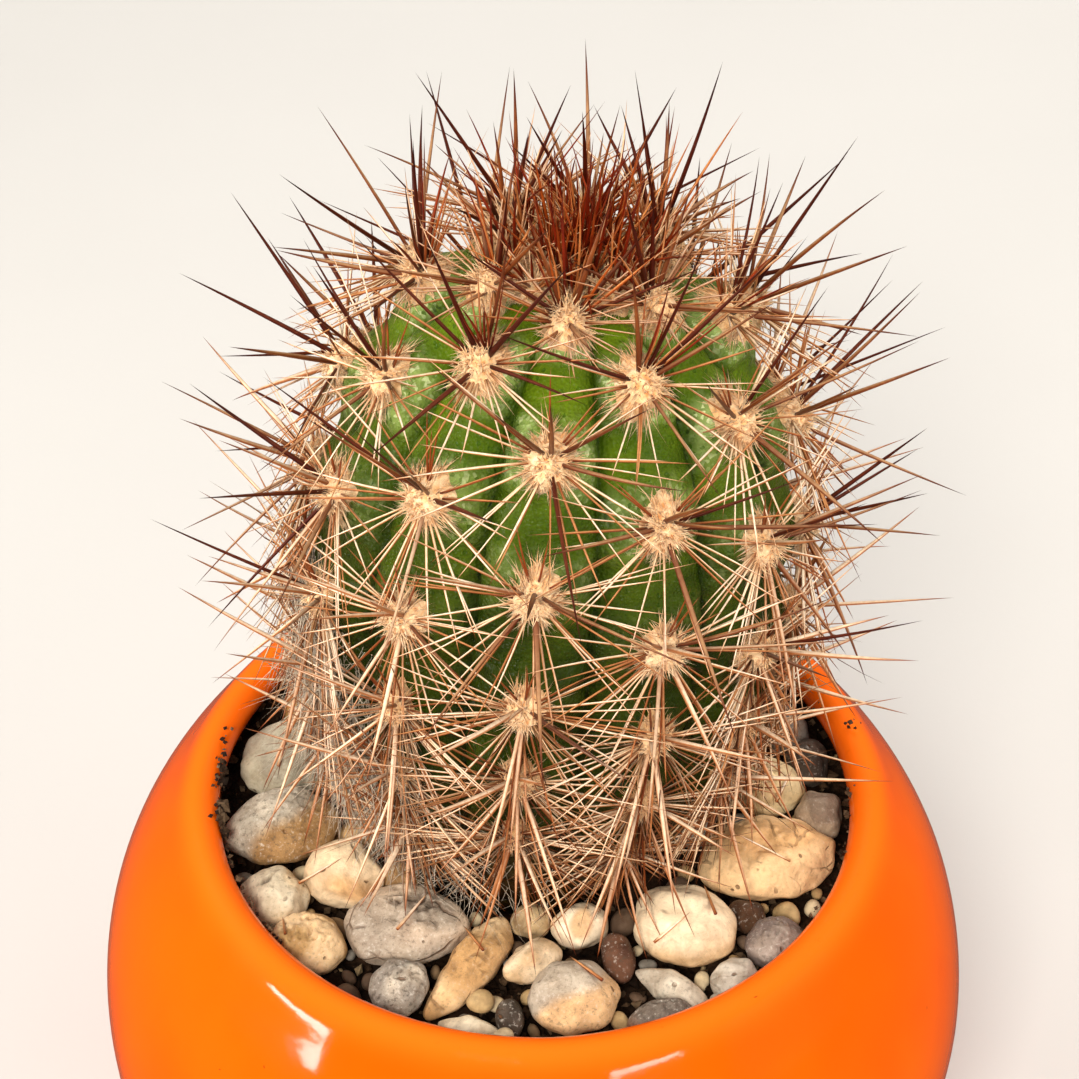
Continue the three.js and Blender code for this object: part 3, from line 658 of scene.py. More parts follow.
# The side that is narrower, in degrees from the right towards the back, and by how much.
TAPERED_STONES = {
    2: (20, 0.15),
    6: (160, 0.5),
    10: (235, 0.08),
    11: (150, 0.45),
    13: (215, 0.25),
    15: (70, 0.25),
    18: (150, 0.5),
    21: (70, 0.35),
    27: (120, 0.45),
}
# The side of the stone that has the second colour.
SPLIT_STONES = {
    2: (0.9, -0.7, -0.4),
    15: (0.5, -0.8, -0.4),
    19: (-0.2, -0.9, -0.5),
    20: (0.2, -0.5, -0.8),
}
ANGULAR_STONES = {6, 10, 11, 18, 25, 27}

# Hollows in the tops of some stones: their place to the right and back, as shares of the stone's
# half width, their radius and depth, and how much darker they are made.
HOLLOWS = {
    2: [(-0.1, 0.3, 2.2, 0.35, 0.0), (0.4, -0.3, 1.8, 0.35, 0.1)],
    3: [(0.3, -0.1, 0.4, 0.1, 0.3), (0.4, 0.1, 0.4, 0.1, 0.3)],
    6: [(-0.25, 0.1, 0.45, 0.5, 0.9), (0.06, 0.5, 0.35, 0.3, 0.7), (0.3, -0.1, 1.5, 0.3, 0.0)],
    7: [(-0.3, 0.3, 1.7, 0.5, 0.0), (0.4, 0.1, 1.6, 0.4, 0.1), (0.1, -0.5, 1.2, 0.3, 0.1)],
    8: [
        (0.05, 0.25, 0.9, 0.6, 0.9), (0.2, 0.32, 1.0, 0.7, 0.9), (0.34, 0.2, 0.8, 0.6, 0.9),
        (0.12, 0.05, 0.7, 0.5, 0.8), (0.3, 0.0, 0.7, 0.4, 0.8), (-0.15, 0.1, 0.6, 0.4, 0.7),
        (0.5, 0.1, 0.6, 0.4, 0.8), (-0.4, -0.2, 1.8, 0.3, 0.0),
    ],
    9: [(-0.3, 0.2, 1.2, 0.4, 0.1), (0.3, -0.2, 1.0, 0.4, 0.1)],
    10: [
        (0.6, 0.4, 0.4, 0.25, 0.6), (0.4, 0.0, 0.4, 0.25, 0.6), (0.1, -0.3, 0.5, 0.25, 0.5),
        (-0.3, -0.3, 0.4, 0.2, 0.5), (-0.5, -0.7, 0.3, 0.2, 0.5), (0.3, 0.6, 1.2, 0.3, 0.0),
    ],
    15: [(0.3, 0.3, 0.4, 0.15, 0.2), (-0.2, -0.1, 1.5, 0.15, 0.0)],
    19: [(-0.2, 0.1, 1.6, 0.5, 0.1), (0.4, -0.1, 1.2, 0.4, 0.1)],
    20: [
        (0.02, 0.3, 0.25, 0.1, 0.8), (-0.45, -0.2, 0.25, 0.1, 0.8), (0.1, 0.32, 0.2, 0.1, 0.7),
        (-0.4, -0.24, 0.2, 0.1, 0.6), (0.3, 0.5, 2.0, 0.15, 0.0),
    ],
    22: [(-0.2, 0.0, 0.9, 0.4, 0.0), (0.3, 0.3, 1.0, 0.3, 0.2)],
    24: [
        (-0.35, -0.35, 1.3, 0.35, 0.15), (-0.1, -0.1, 1.5, 0.35, 0.0), (-0.5, 0.4, 0.6, 0.25, 0.4),
        (0.35, 0.0, 0.7, 0.3, 0.0), (0.2, 0.45, 2.0, 0.3, 0.0),
    ],
    25: [(-0.2, -0.3, 1.5, 0.4, 0.1), (0.3, 0.2, 1.6, 0.4, 0.0)],
}


def hollowed(points, hollows):
    """Presses the hollows into a stone in place, and returns how much each of its points is darkened."""
    low, high = points.min(axis=0), points.max(axis=0)
    centre, half = (low + high) / 2, (high - low) / 2
    ragged = np.clip(1 + 0.4 * lumps(points, 0.9, 77), 0.3, 1.7)
    hollow_darkening = np.zeros(len(points))
    for right, back, radius, depth, dark in hollows:
        spot = centre[:2] + half[:2] * (right, back)
        apart = np.hypot(*(points[:, :2] - spot).T) * ragged
        share = np.exp(-((apart / radius) ** 2)) * smooth_between(points[:, 2], centre[2], high[2])
        points[:, 2] -= depth * share
        hollow_darkening = np.maximum(hollow_darkening, dark * share)
    return hollow_darkening[:, None]


def stone_finish(name, grain, crack, roughness):
    """Stone whose broad colours the mesh carries: clouded, grained, pitted and cracked."""
    finish = Finish(name)
    cloud = finish.noise(3.0, detail=6, roughness=0.65, distortion=0.8)
    colour = finish.mottled(cloud, 0.3, 0.72, (0.76, 0.7, 0.64), (1.12, 1.11, 1.08))
    crumb = finish.noise(0.55, detail=4, roughness=0.75)
    dark_grain = finish.times(finish.spread(crumb, 0.47, 0.36), 0.15 + 0.6 * grain)
    colour = finish.mix(dark_grain, colour, "544A3E")
    light_grain = finish.times(finish.spread(crumb, 0.55, 0.68), 0.1 + 0.6 * grain)
    colour = finish.mix(light_grain, colour, "E9E0D0")
    edge = finish.cells(7.5, output="Distance", feature="DISTANCE_TO_EDGE", wobble=11)
    seam = finish.spread(edge, 0.008, 0.03, 1.0, 0.0)
    seam = finish.times(seam, finish.spread(finish.noise(5, detail=2), 0.5, 0.6))
    seam = finish.times(seam, crack)
    colour = finish.mix(seam, colour, "5A3A20")
    pit = finish.spread(finish.cells(2.3, wobble=3), 0.08, 0.16, 1.0, 0.0)
    pit = finish.times(pit, finish.spread(finish.noise(4, detail=1), 0.52, 0.6))
    colour = finish.mix(finish.times(pit, 0.7), colour, "6A4527")
    rough = finish.spread(cloud, 0.2, 0.8, roughness - 0.1, roughness + 0.1)
    relief = finish.bump(finish.noise(1.8, detail=5, roughness=0.65), 0.4, 0.6)
    relief = finish.bump(crumb, 0.05 + 0.12 * grain, 0.4 + 0.5 * grain, under=relief)
    hollow = finish.maths("ADD", seam, pit)
    relief = finish.bump(finish.times(hollow, -1.0), 0.25, under=relief)
    return finish.finish(Base_Color=colour, Roughness=rough, Normal=relief, Specular_IOR_Level=0.5)


def solid_copy(node):
    """A node's mesh with its corners joined, since the frame keeps its facets apart."""
    mesh = node.data.copy()
    form = bmesh.new()
    form.from_mesh(mesh)
    bmesh.ops.remove_doubles(form, verts=form.verts, dist=0.01 * MM)
    form.to_mesh(mesh)
    form.free()
    return mesh


def corners_of(mesh):
    corners = np.zeros(len(mesh.vertices) * 3, np.float32)
    mesh.vertices.foreach_get("co", corners)
    return corners.reshape(-1, 3).astype(float) / MM


def rounded(mesh, levels):
    """Points and faces of a mesh rounded by subdivision."""
    holder = bpy.data.objects.new("rounding", mesh)
    bpy.context.scene.collection.objects.link(holder)
    rounding = holder.modifiers.new("rounding", "SUBSURF")
    rounding.levels = levels
    rounding.render_levels = levels
    shaped = holder.evaluated_get(bpy.context.evaluated_depsgraph_get()).to_mesh()
    points = corners_of(shaped)
    faces = np.zeros(len(shaped.polygons) * 4, np.int32)
    shaped.polygons.foreach_get("vertices", faces)
    holder.to_mesh_clear()
    bpy.data.objects.remove(holder)
    return points, faces.reshape(-1, 4)


PEBBLE_GROWTH = np.array([1.13, 1.13, 1.16])  # over its solid, so that neighbours meet
STONE_GAP = 0.05
NEIGHBOUR_REACH = 20  # stones whose middles are further apart don't meet
WALL_GAP = 0.15
STRAIGHT_WALL = 70  # the height up to which the pot's inside is followed
HOLLOW_COLOUR = paint("4A3524")
SHAPE_SEED = 500
PATCH_SEED = 700
VEIN_SEED = 800


def soft_over(values, width):
    """How far values go over nought, easing in over a width."""
    return width * np.logaddexp(0, values / width)


# How many sides a round and an angular stone is worn flat on, how much they face up, where a flat
# lies as a share of the way out, and how flat it is.
ROUND_WEAR = (6, 0.1, (0.8, 0.94), 0.6)
ANGULAR_WEAR = (9, 0.3, (0.72, 0.94), 0.8)


def worn_shape(points, size, seed, angular, taper):
    """A rounded stone worn flat on a few sides, roughened, and brought to a size."""
    draw = np.random.default_rng(seed)
    centre = points.mean(axis=0)
    local = points - centre
    count, upward, places, flatness = ANGULAR_WEAR if angular else ROUND_WEAR
    for _ in range(count):
        side = draw.normal(size=3)
        side[2] = abs(side[2]) + upward
        side /= np.linalg.norm(side)
        height = local @ side
        face = height.max() * draw.uniform(*places)
        over = soft_over(height - face, 0.05 * height.max())
        local -= flatness * over[:, None] * side
    outward = local / np.linalg.norm(local, axis=1)[:, None]
    if taper:
        side = np.array([math.cos(math.radians(taper[0])), math.sin(math.radians(taper[0])), 0])
        along = local @ side
        share = np.clip(along / along.max(), 0, 1) ** 1.3
        across = local - along[:, None] * side
        local -= taper[1] * share[:, None] * across
    small = min(np.ptp(local, axis=0))
    relief = 0.018 * small * lumps(local, 0.55 * small, seed + 1)
    relief += 0.03 * lumps(local, 1.3, seed + 2)
    local += relief[:, None] * outward
    local *= size / np.ptp(local, axis=0) * PEBBLE_GROWTH
    return centre + local


def plane_between(a, b):
    """The plane halfway between two convex solids: its normal towards a, and its distance."""
    way = a.mean(axis=0) - b.mean(axis=0)
    for _ in range(80):
        support = a[np.argmin(a @ way)] - b[np.argmax(b @ way)]
        step = way - support
        gain = way @ step
        if gain < 1e-7:
            break
        way = way - min(1, gain / (step @ step)) * step
    normal = way / np.linalg.norm(way)
    return normal, ((a @ normal).min() + (b @ normal).max()) / 2


def held_apart(points, name, corners):
    """Presses a stone back to its side of the planes between it and its neighbours, and in from
    the pot's wall."""
    centre = points.mean(axis=0)
    for other in corners:
        apart = np.linalg.norm(corners[other].mean(axis=0) - centre)
        if other != name and apart < NEIGHBOUR_REACH:
            normal, distance = plane_between(corners[name], corners[other])
            past = np.maximum(distance + STONE_GAP - points @ normal, 0)
            points = points + past[:, None] * normal
    reach = np.hypot(points[:, 0], points[:, 1])
    wall = inner_radius(np.minimum(points[:, 2], STRAIGHT_WALL)) - WALL_GAP
    points[:, :2] *= np.minimum(1, wall / reach)[:, None]
    return points


def stone_tint(points, centre, width, main, second, turn, split, order):
    """A stone's two colours in patches, or one on each side of a split, with paler veins."""
    patch = lumps(points, 0.8 * width, PATCH_SEED + order) * 0.5
    if split:
        patch = 3.2 * (points - centre) @ np.array(split) / width + 0.35 * patch
    share = smooth_between(patch + 2 * turn - 1, -0.35, 0.35)[:, None]
    vein = smooth_between(lumps(points, 0.3 * width, VEIN_SEED + order), 1.1, 2)[:, None]
    tint = paint(main) * (1 - share) + paint(second) * share
    return tint * (1 + 0.22 * vein)


def make_pebbles():
    slots = {row["node"]: row["material_slot"] for row in frame["record"]["subparts"]}
    names = sorted(name for name in frame["nodes"] if name.startswith("pebble_"))
    solids = {name: solid_copy(frame["nodes"][name]) for name in names}
    corners = {name: corners_of(solids[name]) for name in names}
    made = []
    for order, name in enumerate(names):
        number = order + 1
        kind = slots[name]
        main, second, turn, grain, crack, roughness = PEBBLES.get(number, STONE_KINDS[kind])
        points, faces = rounded(solids[name], 3)
        size = np.ptp(corners[name], axis=0)
        angular, taper = number in ANGULAR_STONES, TAPERED_STONES.get(number)
        points = worn_shape(points, size, SHAPE_SEED + 10 * order, angular, taper)
        centre = points.mean(axis=0)
        points = held_apart(points, name, corners)
        split = SPLIT_STONES.get(number)
        tint = stone_tint(points, centre, size.max(), main, second, turn, split, order)
        hollow_darkening = hollowed(points, HOLLOWS.get(number, []))
        # Darker in the hollows, the more so the deeper they are.
        tint = tint * (1 - hollow_darkening) + HOLLOW_COLOUR * hollow_darkening
        material = stone_finish("stone_of_" + name, grain, crack, roughness)
        made.append(new_piece("river_" + name, points, faces, material, kind, [name], tint=tint))
    return made


pebbles = make_pebbles()


def surface_of(pieces):
    """A search tree of the faces of some pieces."""
    points, faces = [], []
    for piece in pieces:
        start = len(points)
        points.extend(vertex.co / MM for vertex in piece.data.vertices)
        faces.extend([start + i for i in face.vertices] for face in piece.data.polygons)
    return BVHTree.FromPolygons(points, faces)


# Small stones caught between the larger ones: place, size and the number of its colour.
TUCKED_STONES = [
    (-3.4, -28.1, 2.6, 0), (-5.2, -28.7, 3.6, 1), (-4.1, -32.4, 2.6, 0), (-7, -15.4, 2.4, 0),
    (-4.6, -16.4, 2.2, 0), (-37, 0.1, 2.2, 0), (36.6, 3, 2.8, 0), (-16.7, -30.6, 2.4, 5),
    (19.8, -28.2, 3.2, 1), (24.9, -14.4, 3.0, 3), (22.6, -16.8, 2.6, 2), (9.6, -20.9, 2.6, 4),
    (23.6, -26.9, 2.6, 6), (-19, -24.2, 2.6, 4), (-15.6, -25.6, 2.2, 3), (-21.4, -22.6, 2.2, 4),
    (-2.2, -19.6, 2.4, 1), (-30.6, -8.4, 2.2, 4), (12.2, -25.2, 2.0, 4), (-11.6, -19.4, 2.4, 2),
]
TUCK_TRIES = (-2.4, -1.6, -0.8, 0, 0.8, 1.6, 2.4)  # each rolls to the lowest place round its own
TUCKED_DEPTH = 3.4  # one that comes to rest higher over the soil is left out
TUCKED_REACH = 37.4
DROP_STEP = 0.25
GRAVEL_CODES = ("E6D2AA", "CDAE7C", "B08F62", "8C7355", "6B5645", "8F887C", "C9C1B2")
GRAVEL_COLOURS = [paint(code) for code in GRAVEL_CODES]
GRAVEL_TRIES = 8000
GRAVEL_RANGE = (19, 36.5)  # of the distance from the pot's axis
GRAVEL_REACH = 37.6
LARGEST_GRAVEL = 6.2
SMALLEST_GRAVEL = 1.5


def gravel_finish():
    finish = Finish("small_gravel")
    cloud = finish.noise(1.5, detail=6, roughness=0.65)
    colour = finish.mottled(cloud, 0.3, 0.72, (0.7, 0.66, 0.62), (1.15, 1.13, 1.1))
    return finish.finish(Base_Color=colour, Roughness=0.5, Normal=finish.bump(cloud, 0.2))


def make_gravel():
    """Small stones that have run down into the gaps, each touching the soil and clear of the
    others."""
    draw = np.random.default_rng(91)
    stones = surface_of(pebbles)
    ball = bmesh.new()
    bmesh.ops.create_icosphere(ball, subdivisions=3, radius=1)
    unit = np.array([vertex.co for vertex in ball.verts])
    triangles = np.array([[vertex.index for vertex in face.verts] for face in ball.faces])
    ball.free()
    placed, points, faces, tints = [], [], [], []

    def lay(place, half, colour):
        placed.append((place, half))
        shape = unit * half * draw.uniform([0.8, 0.7, 0.55], [1.05, 0.95, 0.8])
        shape = shape @ random_turns(draw, 1)[0] * (1, 1, 0.85)
        shape = shape * (1 + 0.07 * lumps(shape + place, 1.8 * half, 92))[:, None]
        points.append(shape + place)
        faces.append(triangles + len(unit) * (len(placed) - 1))
        tints.append(np.tile(colour * draw.uniform(0.8, 1.1), (len(unit), 1)))

    def clear(place, half):
        if stones.find_nearest(Vector(place))[3] < half:
            return False
        return all(np.linalg.norm(place - other) >= half + far for other, far in placed)

    def dropped(x, y, half):
        """Where a stone let fall at a place comes to rest."""
        place = np.array([x, y, LIP_HEIGHT + 5.0])
        while place[2] > SOIL_TOP + 0.7 * half and clear(place - (0, 0, DROP_STEP), half):
            place[2] -= DROP_STEP
        return place

    for x, y, size, kind in TUCKED_STONES:
        half = 0.45 * size
        rests = [dropped(x + right, y + back, half) for right in TUCK_TRIES for back in TUCK_TRIES]
        rests = [rest for rest in rests if math.hypot(rest[0], rest[1]) + half < TUCKED_REACH]
        place = min(rests, key=lambda rest: rest[2] + 0.3 * math.hypot(rest[0] - x, rest[1] - y))
        if place[2] < SOIL_TOP + TUCKED_DEPTH:
            lay(place, half / 0.9, GRAVEL_COLOURS[kind])
    for step in range(GRAVEL_TRIES):
        # the larger ones settle first
        size = LARGEST_GRAVEL - (LARGEST_GRAVEL - SMALLEST_GRAVEL) * step / GRAVEL_TRIES
        angle, reach = draw.uniform(0, 2 * math.pi), draw.uniform(*GRAVEL_RANGE)
        place = np.array([reach * math.sin(angle), -reach * math.cos(angle), SOIL_TOP + 0.33 * size])
        half = 0.5 * size
        in_hole = np.linalg.norm(place[:2] - STEM_FOOT[:2]) < HOLE_RADIUS + half
        if in_hole or reach + half > GRAVEL_REACH or not clear(place, half):
            continue
        lay(place, half, GRAVEL_COLOURS[draw.integers(len(GRAVEL_COLOURS))])
    return new_piece(
        "small_gravel", np.concatenate(points), np.concatenate(faces), gravel_finish(), "stone_tan",
        tint=np.concatenate(tints),
    )


gravel = make_gravel()

# ---- Stem ----
# The grown body of the plant: twelve ribs, each a row of low swellings with a cushion on it, under
# a tough waxy skin. The foot is drawn in and its neck stands in the soil.

STEM_LEAN = math.radians(3.4)  # to the right
STEM_HEIGHT = 85.6
STEM_WAIST = 42
STEM_RADIUS = 26.9
STEM_FOOT_RADIUS = 14.3
STEM_FULLNESS = 2.5
RIBS = 12
FIRST_RIB = math.radians(-6)
RIB_DEPTH = 2.5
FURROW_NARROWING = 0.55  # below 1 the furrows are narrower than the crests
TUBERCLE = 0.9
CROWN_ARC = 9.7
UPPER_PITCH = 7.3
LOWER_PITCH = 5.3
UPPER_ROWS = 6
ROWS = 12
NECK = [(-7, 9.5), (-15, 4), (-17, 0)]  # height and radius below the foot, down to the root's end
SKIN_COLUMNS = 30  # over one rib
SKIN_STEP = 0.5
SKIN_START = 0.25  # along the surface from the growing point


def stem_outline():
    """Radius, height and arc of the stem's outline from the growing point down."""
    angle = np.radians(90 - np.linspace(0, 90, 241))
    power = 2 / STEM_FULLNESS
    dome = STEM_HEIGHT - STEM_WAIST
    radius = STEM_RADIUS * np.cos(angle) ** power
    height = STEM_WAIST + dome * np.sin(angle) ** power
    low = np.linspace(STEM_WAIST, 0, 85)[1:]
    down = (STEM_WAIST - low) / STEM_WAIST
    radius = np.r_[radius, STEM_RADIUS - (STEM_RADIUS - STEM_FOOT_RADIUS) * down**2]
    height = np.r_[height, low]
    arc = np.r_[0, np.cumsum(np.hypot(np.diff(radius), np.diff(height)))]
    return radius, height, arc


OUTLINE_RADIUS, OUTLINE_HEIGHT, OUTLINE_ARC = stem_outline()
OUTLINE_OUTWARD = -np.gradient(OUTLINE_HEIGHT, OUTLINE_ARC)
OUTLINE_UPWARD = np.gradient(OUTLINE_RADIUS, OUTLINE_ARC)


def row_arc(row):
    upper = np.minimum(row, UPPER_ROWS)
    return CROWN_ARC + upper * UPPER_PITCH + (row - upper) * LOWER_PITCH


def row_at(arc):
    waist = row_arc(UPPER_ROWS)
    above = (arc - CROWN_ARC) / UPPER_PITCH
    return np.where(arc < waist, above, UPPER_ROWS + (arc - waist) / LOWER_PITCH)


def skin_at(turn, arc):
    """Points of the ribbed skin in the stem's own frame, with how far each lies in a furrow and
    how far down. Turn counts ribs from the first one."""
    rib = np.round(turn)
    on_crest = np.abs(np.cos(math.pi * (turn - rib))) ** FURROW_NARROWING
    radius = np.interp(arc, OUTLINE_ARC, OUTLINE_RADIUS)
    height = np.interp(arc, OUTLINE_ARC, OUTLINE_HEIGHT)
    outward = np.interp(arc, OUTLINE_ARC, OUTLINE_OUTWARD)
    upward = np.interp(arc, OUTLINE_ARC, OUTLINE_UPWARD)
    ribbed = smooth_between(arc, 3, 16) * smooth_between(height, 3, 14)
    swell = np.cos(math.pi * (row_at(arc) - rib % 2))
    lift = ribbed * (TUBERCLE * swell * on_crest - RIB_DEPTH * (1 - on_crest))
    angle = FIRST_RIB + turn * 2 * math.pi / RIBS
    reach = radius + lift * outward
    return around(angle, reach, height + lift * upward), (1 - on_crest) * ribbed, swell


def to_pot(points):
    """From the stem's own frame, which leans, to the pot's."""
    c, s = math.cos(STEM_LEAN), math.sin(STEM_LEAN)
    x, y, z = points[..., 0], points[..., 1], points[..., 2]
    return np.stack([x * c + z * s, y, z * c - x * s], axis=-1) + STEM_FOOT


def to_pot_direction(directions):
    return to_pot(directions) - STEM_FOOT


def skin_finish():
    """Waxy green skin: a pale bloom and pale specks on the upper swellings, partly painted highlight
    and sheen; painted shade in the furrows and their creases; painted light and shade that make it
    much lighter near the top and much darker low down; and corky at the foot."""
    finish = Finish("cactus_skin")
    cloud = finish.noise(7, detail=4)
    colour = finish.mix(finish.spread(cloud, 0.3, 0.7), "3A5205", "58700F")
    swell = finish.mark("swell")
    low = finish.mark("low")
    # A pale waxy bloom on the swellings, which also stands for a painted highlight; it fades low down.
    bloom_and_highlight = finish.times(swell, finish.spread(finish.noise(3.2, detail=3), 0.25, 0.65))
    bloom_and_highlight = finish.times(bloom_and_highlight, finish.spread(low, 0.0, 1.1, 1.0, 0.0))
    colour = finish.mix(finish.times(bloom_and_highlight, 0.95), colour, "A6BE7E")
    speck = finish.cells(0.42, output="Color")
    # Pale specks where the bloom lies: real specks, and painted glints of sheen.
    speck_and_glint = finish.times(finish.spread(speck, 0.66, 0.76), bloom_and_highlight)
    colour = finish.mix(finish.times(speck_and_glint, 0.9), colour, "E2ECCB")
    dark_speck = finish.spread(speck, 0.2, 0.12)
    colour = finish.mix(finish.times(dark_speck, 0.6), colour, "2B4A10")
    # Painted shade: darker in the furrows, and darker still in streaks along their creases.
    furrow = finish.spread(finish.mark("furrow"), 0.25, 0.95)
    colour = finish.mix(finish.times(furrow, 0.75), colour, "263B08")
    stripe = finish.noise(2.2, detail=2, distortion=1.5)
    crease_shade = finish.times(finish.spread(stripe, 0.6, 0.68), furrow)
    colour = finish.mix(crease_shade, colour, "0F2406")
    # Painted light and shade: the skin is made much lighter near the top and much darker low down.
    age = finish.mix(low, (1.48, 1.41, 1.15, 1), (0.35, 0.32, 0.1, 1))
    colour = finish.shaded(colour, age)
    colour = finish.mix(finish.times(finish.mark("corky"), 0.95), colour, "33200C")
    rough = finish.spread(speck, 0.0, 1.0, 0.26, 0.46)
    relief = finish.bump(finish.noise(2.0, detail=3), 0.3, 0.35)
    relief = finish.bump(finish.cells(0.42), 0.2, 1.0, under=relief)
    return finish.finish(
        Base_Color=colour, Roughness=rough, Normal=relief, Specular_IOR_Level=0.3,
        Subsurface_Weight=0.12, Subsurface_Radius=(0.6, 1.0, 0.3), Subsurface_Scale=0.0012,
        Coat_Weight=0.1, Coat_Roughness=0.25,
    )


def make_stem():
    turns = np.arange(RIBS * SKIN_COLUMNS) / SKIN_COLUMNS
    arcs = np.linspace(SKIN_START, OUTLINE_ARC[-1], int(OUTLINE_ARC[-1] / SKIN_STEP))
    turn, arc = np.meshgrid(turns, arcs)
    points, furrow, swell = skin_at(turn, arc)
    height = points[..., 2]
    crest = 1 - furrow
    points = to_pot(points)
    axis = to_pot(np.stack([0 * height, 0 * height, height], axis=-1))
    outward = points - axis
    outward /= np.linalg.norm(outward, axis=-1)[..., None]
    flat = points.reshape(-1, 3)
    relief = 0.16 * lumps(flat, 9, 61) + 0.07 * lumps(flat, 3, 62)
    chin = 0.35 * np.exp(-(((swell + 0.55) / 0.18) ** 2)) * crest
    pinch = 0.25 * furrow * np.cos(2 * math.pi * row_at(arc) * 2)
    points = points + (relief.reshape(height.shape) - chin + pinch)[..., None] * outward
    angle = FIRST_RIB + turns * 2 * math.pi / RIBS
    top = to_pot(around(angle, 0, STEM_HEIGHT))
    neck = [to_pot(around(angle, radius, down)) for down, radius in NECK]
    rings = np.concatenate([top[None], points, neck])
    faces = grid_faces(len(rings), len(turns))[:, ::-1]
    pad = np.zeros((len(rings) - len(points) - 1, len(turns)))

    def over_all(values):
        return np.concatenate([values[:1], values, pad]).ravel()

    swelling = smooth_between(swell, -0.7, 0.9) * crest
    # How low a point lies: the skin's material paints shade with it, darker low down, and fades the bloom.
    low = 1 - smooth_between(height, 45, 90)
    corky = 1 - smooth_between(height, 8, 36)
    piece = new_piece(
        "cactus_stem", rings.reshape(-1, 3), faces, skin_finish(), "plant", ["cactus"],
        furrow=over_all(furrow), swell=over_all(swelling), low=over_all(low), corky=over_all(corky),
    )
    weld(piece)
    return piece


stem = make_stem()

# ---- Woolly cushions ----
# From each swelling grows a pad of short, matted, cream-coloured wool that the spines stand in. It
# is fresh and pale near the crown, and small, brown and weathered low down.

CUSHION_HALF_WIDTH = 2.6
CUSHION_HALF_HEIGHT = 3.1
CUSHION_RISE = 1.8


class Cushion:
    """The place of one cushion in the pot's frame, with its directions, its age, which is 0 at the
    crown and 1 at the foot, and its size, which is 1 for a full one."""

    def __init__(self, turn, arc, size):
        at = skin_at(np.array(float(turn)), np.array(float(arc)))[0]
        outward = np.interp(arc, OUTLINE_ARC, OUTLINE_OUTWARD)
        upward = np.interp(arc, OUTLINE_ARC, OUTLINE_UPWARD)
        angle = FIRST_RIB + turn * 2 * math.pi / RIBS
        out = np.array([outward * math.sin(angle), -outward * math.cos(angle), upward])
        across = np.array([math.cos(angle), math.sin(angle), 0])
        self.turn = turn
        self.arc = arc
        self.reach = max(float(np.interp(arc, OUTLINE_ARC, OUTLINE_RADIUS)), 1)
        self.row = float(row_at(arc))
        self.age = max(0.0, self.row / (ROWS - 1))
        self.size = size
        self.at = to_pot(at)
        self.out = to_pot_direction(out)
        self.across = to_pot_direction(across)
        self.up = np.cross(self.out, self.across)

    def seat(self, across, up):
        """Points of the skin at distances across and up from the middle of the cushion."""
        turn = self.turn + across / self.reach * RIBS / (2 * math.pi)
        return to_pot(skin_at(turn, np.maximum(self.arc - up, 0.3))[0])

    def aside(self, turn):
        """The direction over the skin at a turn from up, in degrees."""
        turn = np.radians(turn)
        return np.multiply.outer(np.sin(turn), self.across) + np.multiply.outer(np.cos(turn), self.up)


def full_cushions():
    """One on every swelling: even rows on even ribs and odd rows on odd ones."""
    made = []
    for row in range(ROWS):
        size = np.interp(row, [0, 1, 4, 11], [1, 1.05, 1.03, 0.72])
        made.extend(Cushion(rib, row_arc(row), size) for rib in range(row % 2, RIBS, 2))
    return made


YOUNG_RINGS = [(1.0, 3, 0.35), (3.6, 7, 0.5), (6.6, 9, 0.75)]  # arc, how many, and size
cushions = full_cushions()
young_cushions = [
    Cushion(RIBS * (i + 0.5 * ring) / count, arc, size)
    for ring, (arc, count, size) in enumerate(YOUNG_RINGS)
    for i in range(count)
]


def needles(roots, directions, lengths, widths, bends, sides=5, steps=6, power=1.5):
    """Curved needles that taper to a point: all points, triangles, and how far along each lies.
    A bend is how far the tip is carried aside, as a share of the length."""
    count = len(roots)
    along = np.linspace(0, 1, steps + 1)[:-1]
    helper = np.where(np.abs(directions[:, 2:]) < 0.8, [[0.0, 0, 1]], [[1.0, 0, 0]])
    side = np.cross(directions, helper)
    side /= np.linalg.norm(side, axis=1)[:, None]
    other = np.cross(directions, side)
    stretch = lengths[:, None, None]
    middle = directions[:, None] * along[None, :, None] + bends[:, None] * along[None, :, None] ** 2
    middle = roots[:, None] + stretch * middle
    radius = widths[:, None] / 2 * (1 - along[None] ** power)
    turn = np.arange(sides) * 2 * math.pi / sides
    ring = side[:, None] * np.cos(turn)[None, :, None] + other[:, None] * np.sin(turn)[None, :, None]
    rings = middle[:, :, None] + radius[:, :, None, None] * ring[:, None]
    tips = roots + lengths[:, None] * (directions + bends)
    points = np.concatenate([rings.reshape(count, -1, 3), tips[:, None], roots[:, None]], axis=1)
    here = np.arange(sides)
    after = (here + 1) % sides
    faces = []
    for step in range(steps - 1):
        low, high = step * sides, (step + 1) * sides
        faces.append(np.column_stack([low + here, low + after, high + after]))
        faces.append(np.column_stack([low + here, high + after, high + here]))
    last = (steps - 1) * sides
    tip, root = steps * sides, steps * sides + 1
    faces.append(np.column_stack([last + here, last + after, tip + 0 * here]))
    faces.append(np.column_stack([after, here, root + 0 * here]))
    faces = np.concatenate(faces)[:, ::-1]
    size = points.shape[1]
    all_faces = (faces[None] + size * np.arange(count)[:, None, None]).reshape(-1, 3)
    share = np.r_[np.repeat(along, sides), 1, 0]
    return points.reshape(-1, 3), all_faces, np.tile(share, count)


def colour_along(share, stops):
    """Colours at shares from 0 to 1 along a run whose stops give the colour at some shares."""
    colours = np.array([paint(code) for code in stops.values()])
    return np.column_stack([np.interp(share, list(stops), colours[:, i]) for i in range(3)])


